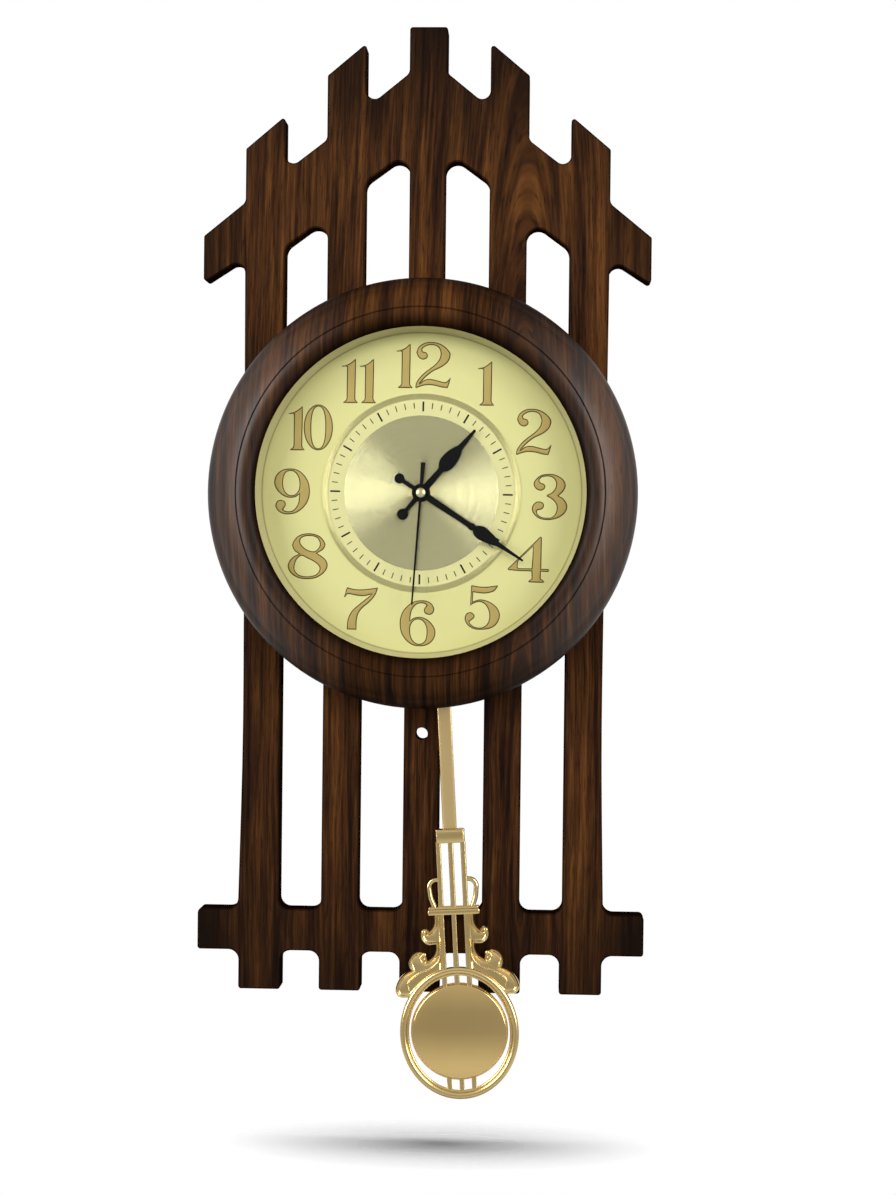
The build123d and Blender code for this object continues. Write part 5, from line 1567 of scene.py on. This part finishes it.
SECOND_TURN = math.radians(184.0)
BLADE_T = 0.6
ARBOR_R = 0.53
HUB_R = 1.3
BLADE_HALF = [(0.5, 65.6), (0.72, 0.0), (0.9, -4.0), (1.4, -17.7)]
blade = [(-p, q) for p, q in BLADE_HALF] + BLADE_HALF[::-1]
PRESSED = [(0.0, 0.0), (0.0, 0.4), (-0.1, 0.54), (-0.25, BLADE_T)]
BLADE_BACK = face_of("second_hand") + BLADE_T * MM
HUB_BACK = back_of("second_hand")
hub_rise = (HUB_BACK - BLADE_BACK) / MM + 0.1


def on_hand(p, q, y):
    """A point p to the right of and q along the second hand, at depth y."""
    x = DIAL.x + (q * math.sin(SECOND_TURN) + p * math.cos(SECOND_TURN)) * MM
    z = DIAL.z + (q * math.cos(SECOND_TURN) - p * math.sin(SECOND_TURN)) * MM
    return (x, y, z)


pressing = ([], [])
layers = (
    ([blade, ball(0.0, 0.0, 2.6, 32)], PRESSED, ARBOR_R, BLADE_BACK),
    ([ball(0.0, 0.0, HUB_R, 24)], [(0.0, 0.0), (0.0, hub_rise)], ARBOR_R + 0.01, HUB_BACK),
)
for outlines, steps, hole, back in layers:
    verts, faces = relief(outlines, steps, [ball(0.0, 0.0, hole, 16)])
    add(pressing, [on_hand(p, q, back - height * MM) for p, q, height in verts], faces)
second_blade = new_piece("second_blade", tidy_mesh("second_blade", *pressing), BLACK_HANDS)
crisp(second_blade.data)
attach(second_blade, "second")
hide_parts("second_hand")
print("second hand", len(second_blade.data.polygons), "faces")

# %% [markdown]
# ## Studio
#
# The clock hangs in front of plain white, with a soft shadow on a pale floor just below it. The
# white is what the camera, the metal and the glass see of the world; the light on the clock comes
# from soft boxes left, right and above, at a level where a colour renders about as it is written.

# %% Camera

CAMERA_AT = Vector((0.07329, -1.315, -0.2677))
YAW = -0.0448
PITCH = -0.0121
ROLL = 0.0109
FOCAL_PX = 2169.08
IMAGE_H = 1195
ahead = Vector((math.sin(YAW), math.cos(YAW), 0.0))
right = Vector((math.cos(YAW), -math.sin(YAW), 0.0))
look = math.cos(PITCH) * ahead + math.sin(PITCH) * Vector((0, 0, 1))
upward = math.cos(PITCH) * Vector((0, 0, 1)) - math.sin(PITCH) * ahead
across = math.cos(ROLL) * right + math.sin(ROLL) * upward
above = math.cos(ROLL) * upward - math.sin(ROLL) * right
lens = bpy.data.cameras.new("camera")
lens.sensor_fit = "VERTICAL"
lens.sensor_height = 36.0
lens.lens = FOCAL_PX / IMAGE_H * lens.sensor_height
camera = bpy.data.objects.new("camera", lens)
facing = Matrix((across, above, -look)).transposed()
camera.matrix_world = Matrix.Translation(CAMERA_AT) @ facing.to_4x4()
scene.collection.objects.link(camera)
scene.camera = camera
print("lens", round(lens.lens, 2), "mm")

# %% Lamps


def soft_box(name, place, target, size, watts, mirrored=True):
    """A soft box; one that is not mirrored gives light but no shine."""
    lamp = bpy.data.lights.new(name, "AREA")
    lamp.shape = "RECTANGLE"
    lamp.size, lamp.size_y = size
    lamp.energy = watts
    thing = bpy.data.objects.new(name, lamp)
    thing.location = place
    thing.rotation_euler = (Vector(target) - Vector(place)).to_track_quat("-Z", "Y").to_euler()
    thing.visible_glossy = mirrored
    scene.collection.objects.link(thing)
    return thing


MID = Vector((0.0, 0.0, -0.25))
soft_box("left_box", (-1.25, -0.95, 0.12), MID, (0.7, 1.3), 22.0)
soft_box("right_box", (1.30, -0.95, 0.06), MID, (0.7, 1.3), 20.0)
soft_box("top_box", (0.0, -1.50, 0.50), MID, (1.2, 0.6), 10.0, mirrored=False)
FLOOR_MID = (-0.05, -0.03, -0.6)
floor_lamp = soft_box("floor_lamp", (-0.05, -0.03, 1.3), FLOOR_MID, (0.55, 0.45), 130.0, mirrored=False)

# %% World

FILL_LEVEL = 0.36
DIM_LEVEL = 0.06
world = bpy.data.worlds.new("studio")
scene.world = world
world.use_nodes = True
room = world.node_tree
room.nodes.clear()
path = room.nodes.new("ShaderNodeLightPath")
spot = room.nodes.new("ShaderNodeTexCoord")
axes = room.nodes.new("ShaderNodeSeparateXYZ")
room.links.new(spot.outputs["Generated"], axes.inputs[0])


def ray(kind):
    """1 for rays of a kind, else 0."""
    return Flow(room, path.outputs[f"Is {kind} Ray"])


def white(level):
    """A white background of a strength."""
    glow = room.nodes.new("ShaderNodeBackground")
    glow.inputs["Color"].default_value = (1, 1, 1, 1)
    glow.inputs["Strength"].default_value = level
    return Flow(room, glow.outputs[0])


rear = Flow(room, axes.outputs[1])
height = Flow(room, axes.outputs[2])
below = (0 - height).over(0.20, 0.60) * 0.60
overhead = height.over(0.05, 0.50) * 0.45
shown = rear.over(0.35, 0.75).most(below + overhead + DIM_LEVEL)
seen = ray("Camera").most(ray("Glossy") * shown).most(ray("Transmission"))
mixed = room.nodes.new("ShaderNodeMixShader")
for socket, value in zip(mixed.inputs, (seen, white(FILL_LEVEL), white(1.0))):
    plug(room, socket, value)
sky_out = room.nodes.new("ShaderNodeOutputWorld")
room.links.new(mixed.outputs[0], sky_out.inputs[0])
print("world of", len(room.nodes), "nodes")

# %% Floor

FLOOR_Z = -0.612
FLOOR_SIZE = 0.46
FLOOR_STEPS = 64
FADE_MID = (0.014, -0.016)
FADE_HALF = (0.128, 0.058)
FADE_BAND = (0.03, 1.0)
floor_rim = [(x, y, FLOOR_Z) for x, y in ball(0.0, 0.0, FLOOR_SIZE, FLOOR_STEPS)]
floor_mesh = tidy_mesh("floor", floor_rim, [tuple(range(FLOOR_STEPS))], False)
pale = Finish("pale_floor", Roughness=0.9, Specular_IOR_Level=0.0)
fx, fy = pale.place()[:2]
span_x = (fx - FADE_MID[0]) / FADE_HALF[0]
span_y = (fy - FADE_MID[1]) / FADE_HALF[1]
far = (span_x * span_x + span_y * span_y) ** 0.5
dust = pale.noise(pale.vector(fx, fy, 0.0), 900.0, 2.0)
pale.set(Base_Color=pale.blend(dust, paint(120, 120, 120), paint(124, 124, 124)))
clear = pale.node("ShaderNodeBsdfTransparent", 0)
lit = Flow(pale.tree, pale.shader.outputs[0])
fade = pale.node("ShaderNodeMixShader", 0, sockets={0: far.over(*FADE_BAND), 1: lit, 2: clear})
plug(pale.tree, pale.out.inputs[0], fade)
floor = new_piece("floor", floor_mesh, pale.material)
floor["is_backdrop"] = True
floor_only = bpy.data.collections.new("floor_only")
floor_only.objects.link(floor)
floor_lamp.light_linking.receiver_collection = floor_only
print("floor at", FLOOR_Z)

# %% Sizes, then the end

low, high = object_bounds()
{"cad": [list(CAD_LOW), list(CAD_HIGH)], "visual": [list(low), list(high)]}
print("visual box", [round(b - a, 4) for a, b in zip(low, high)])
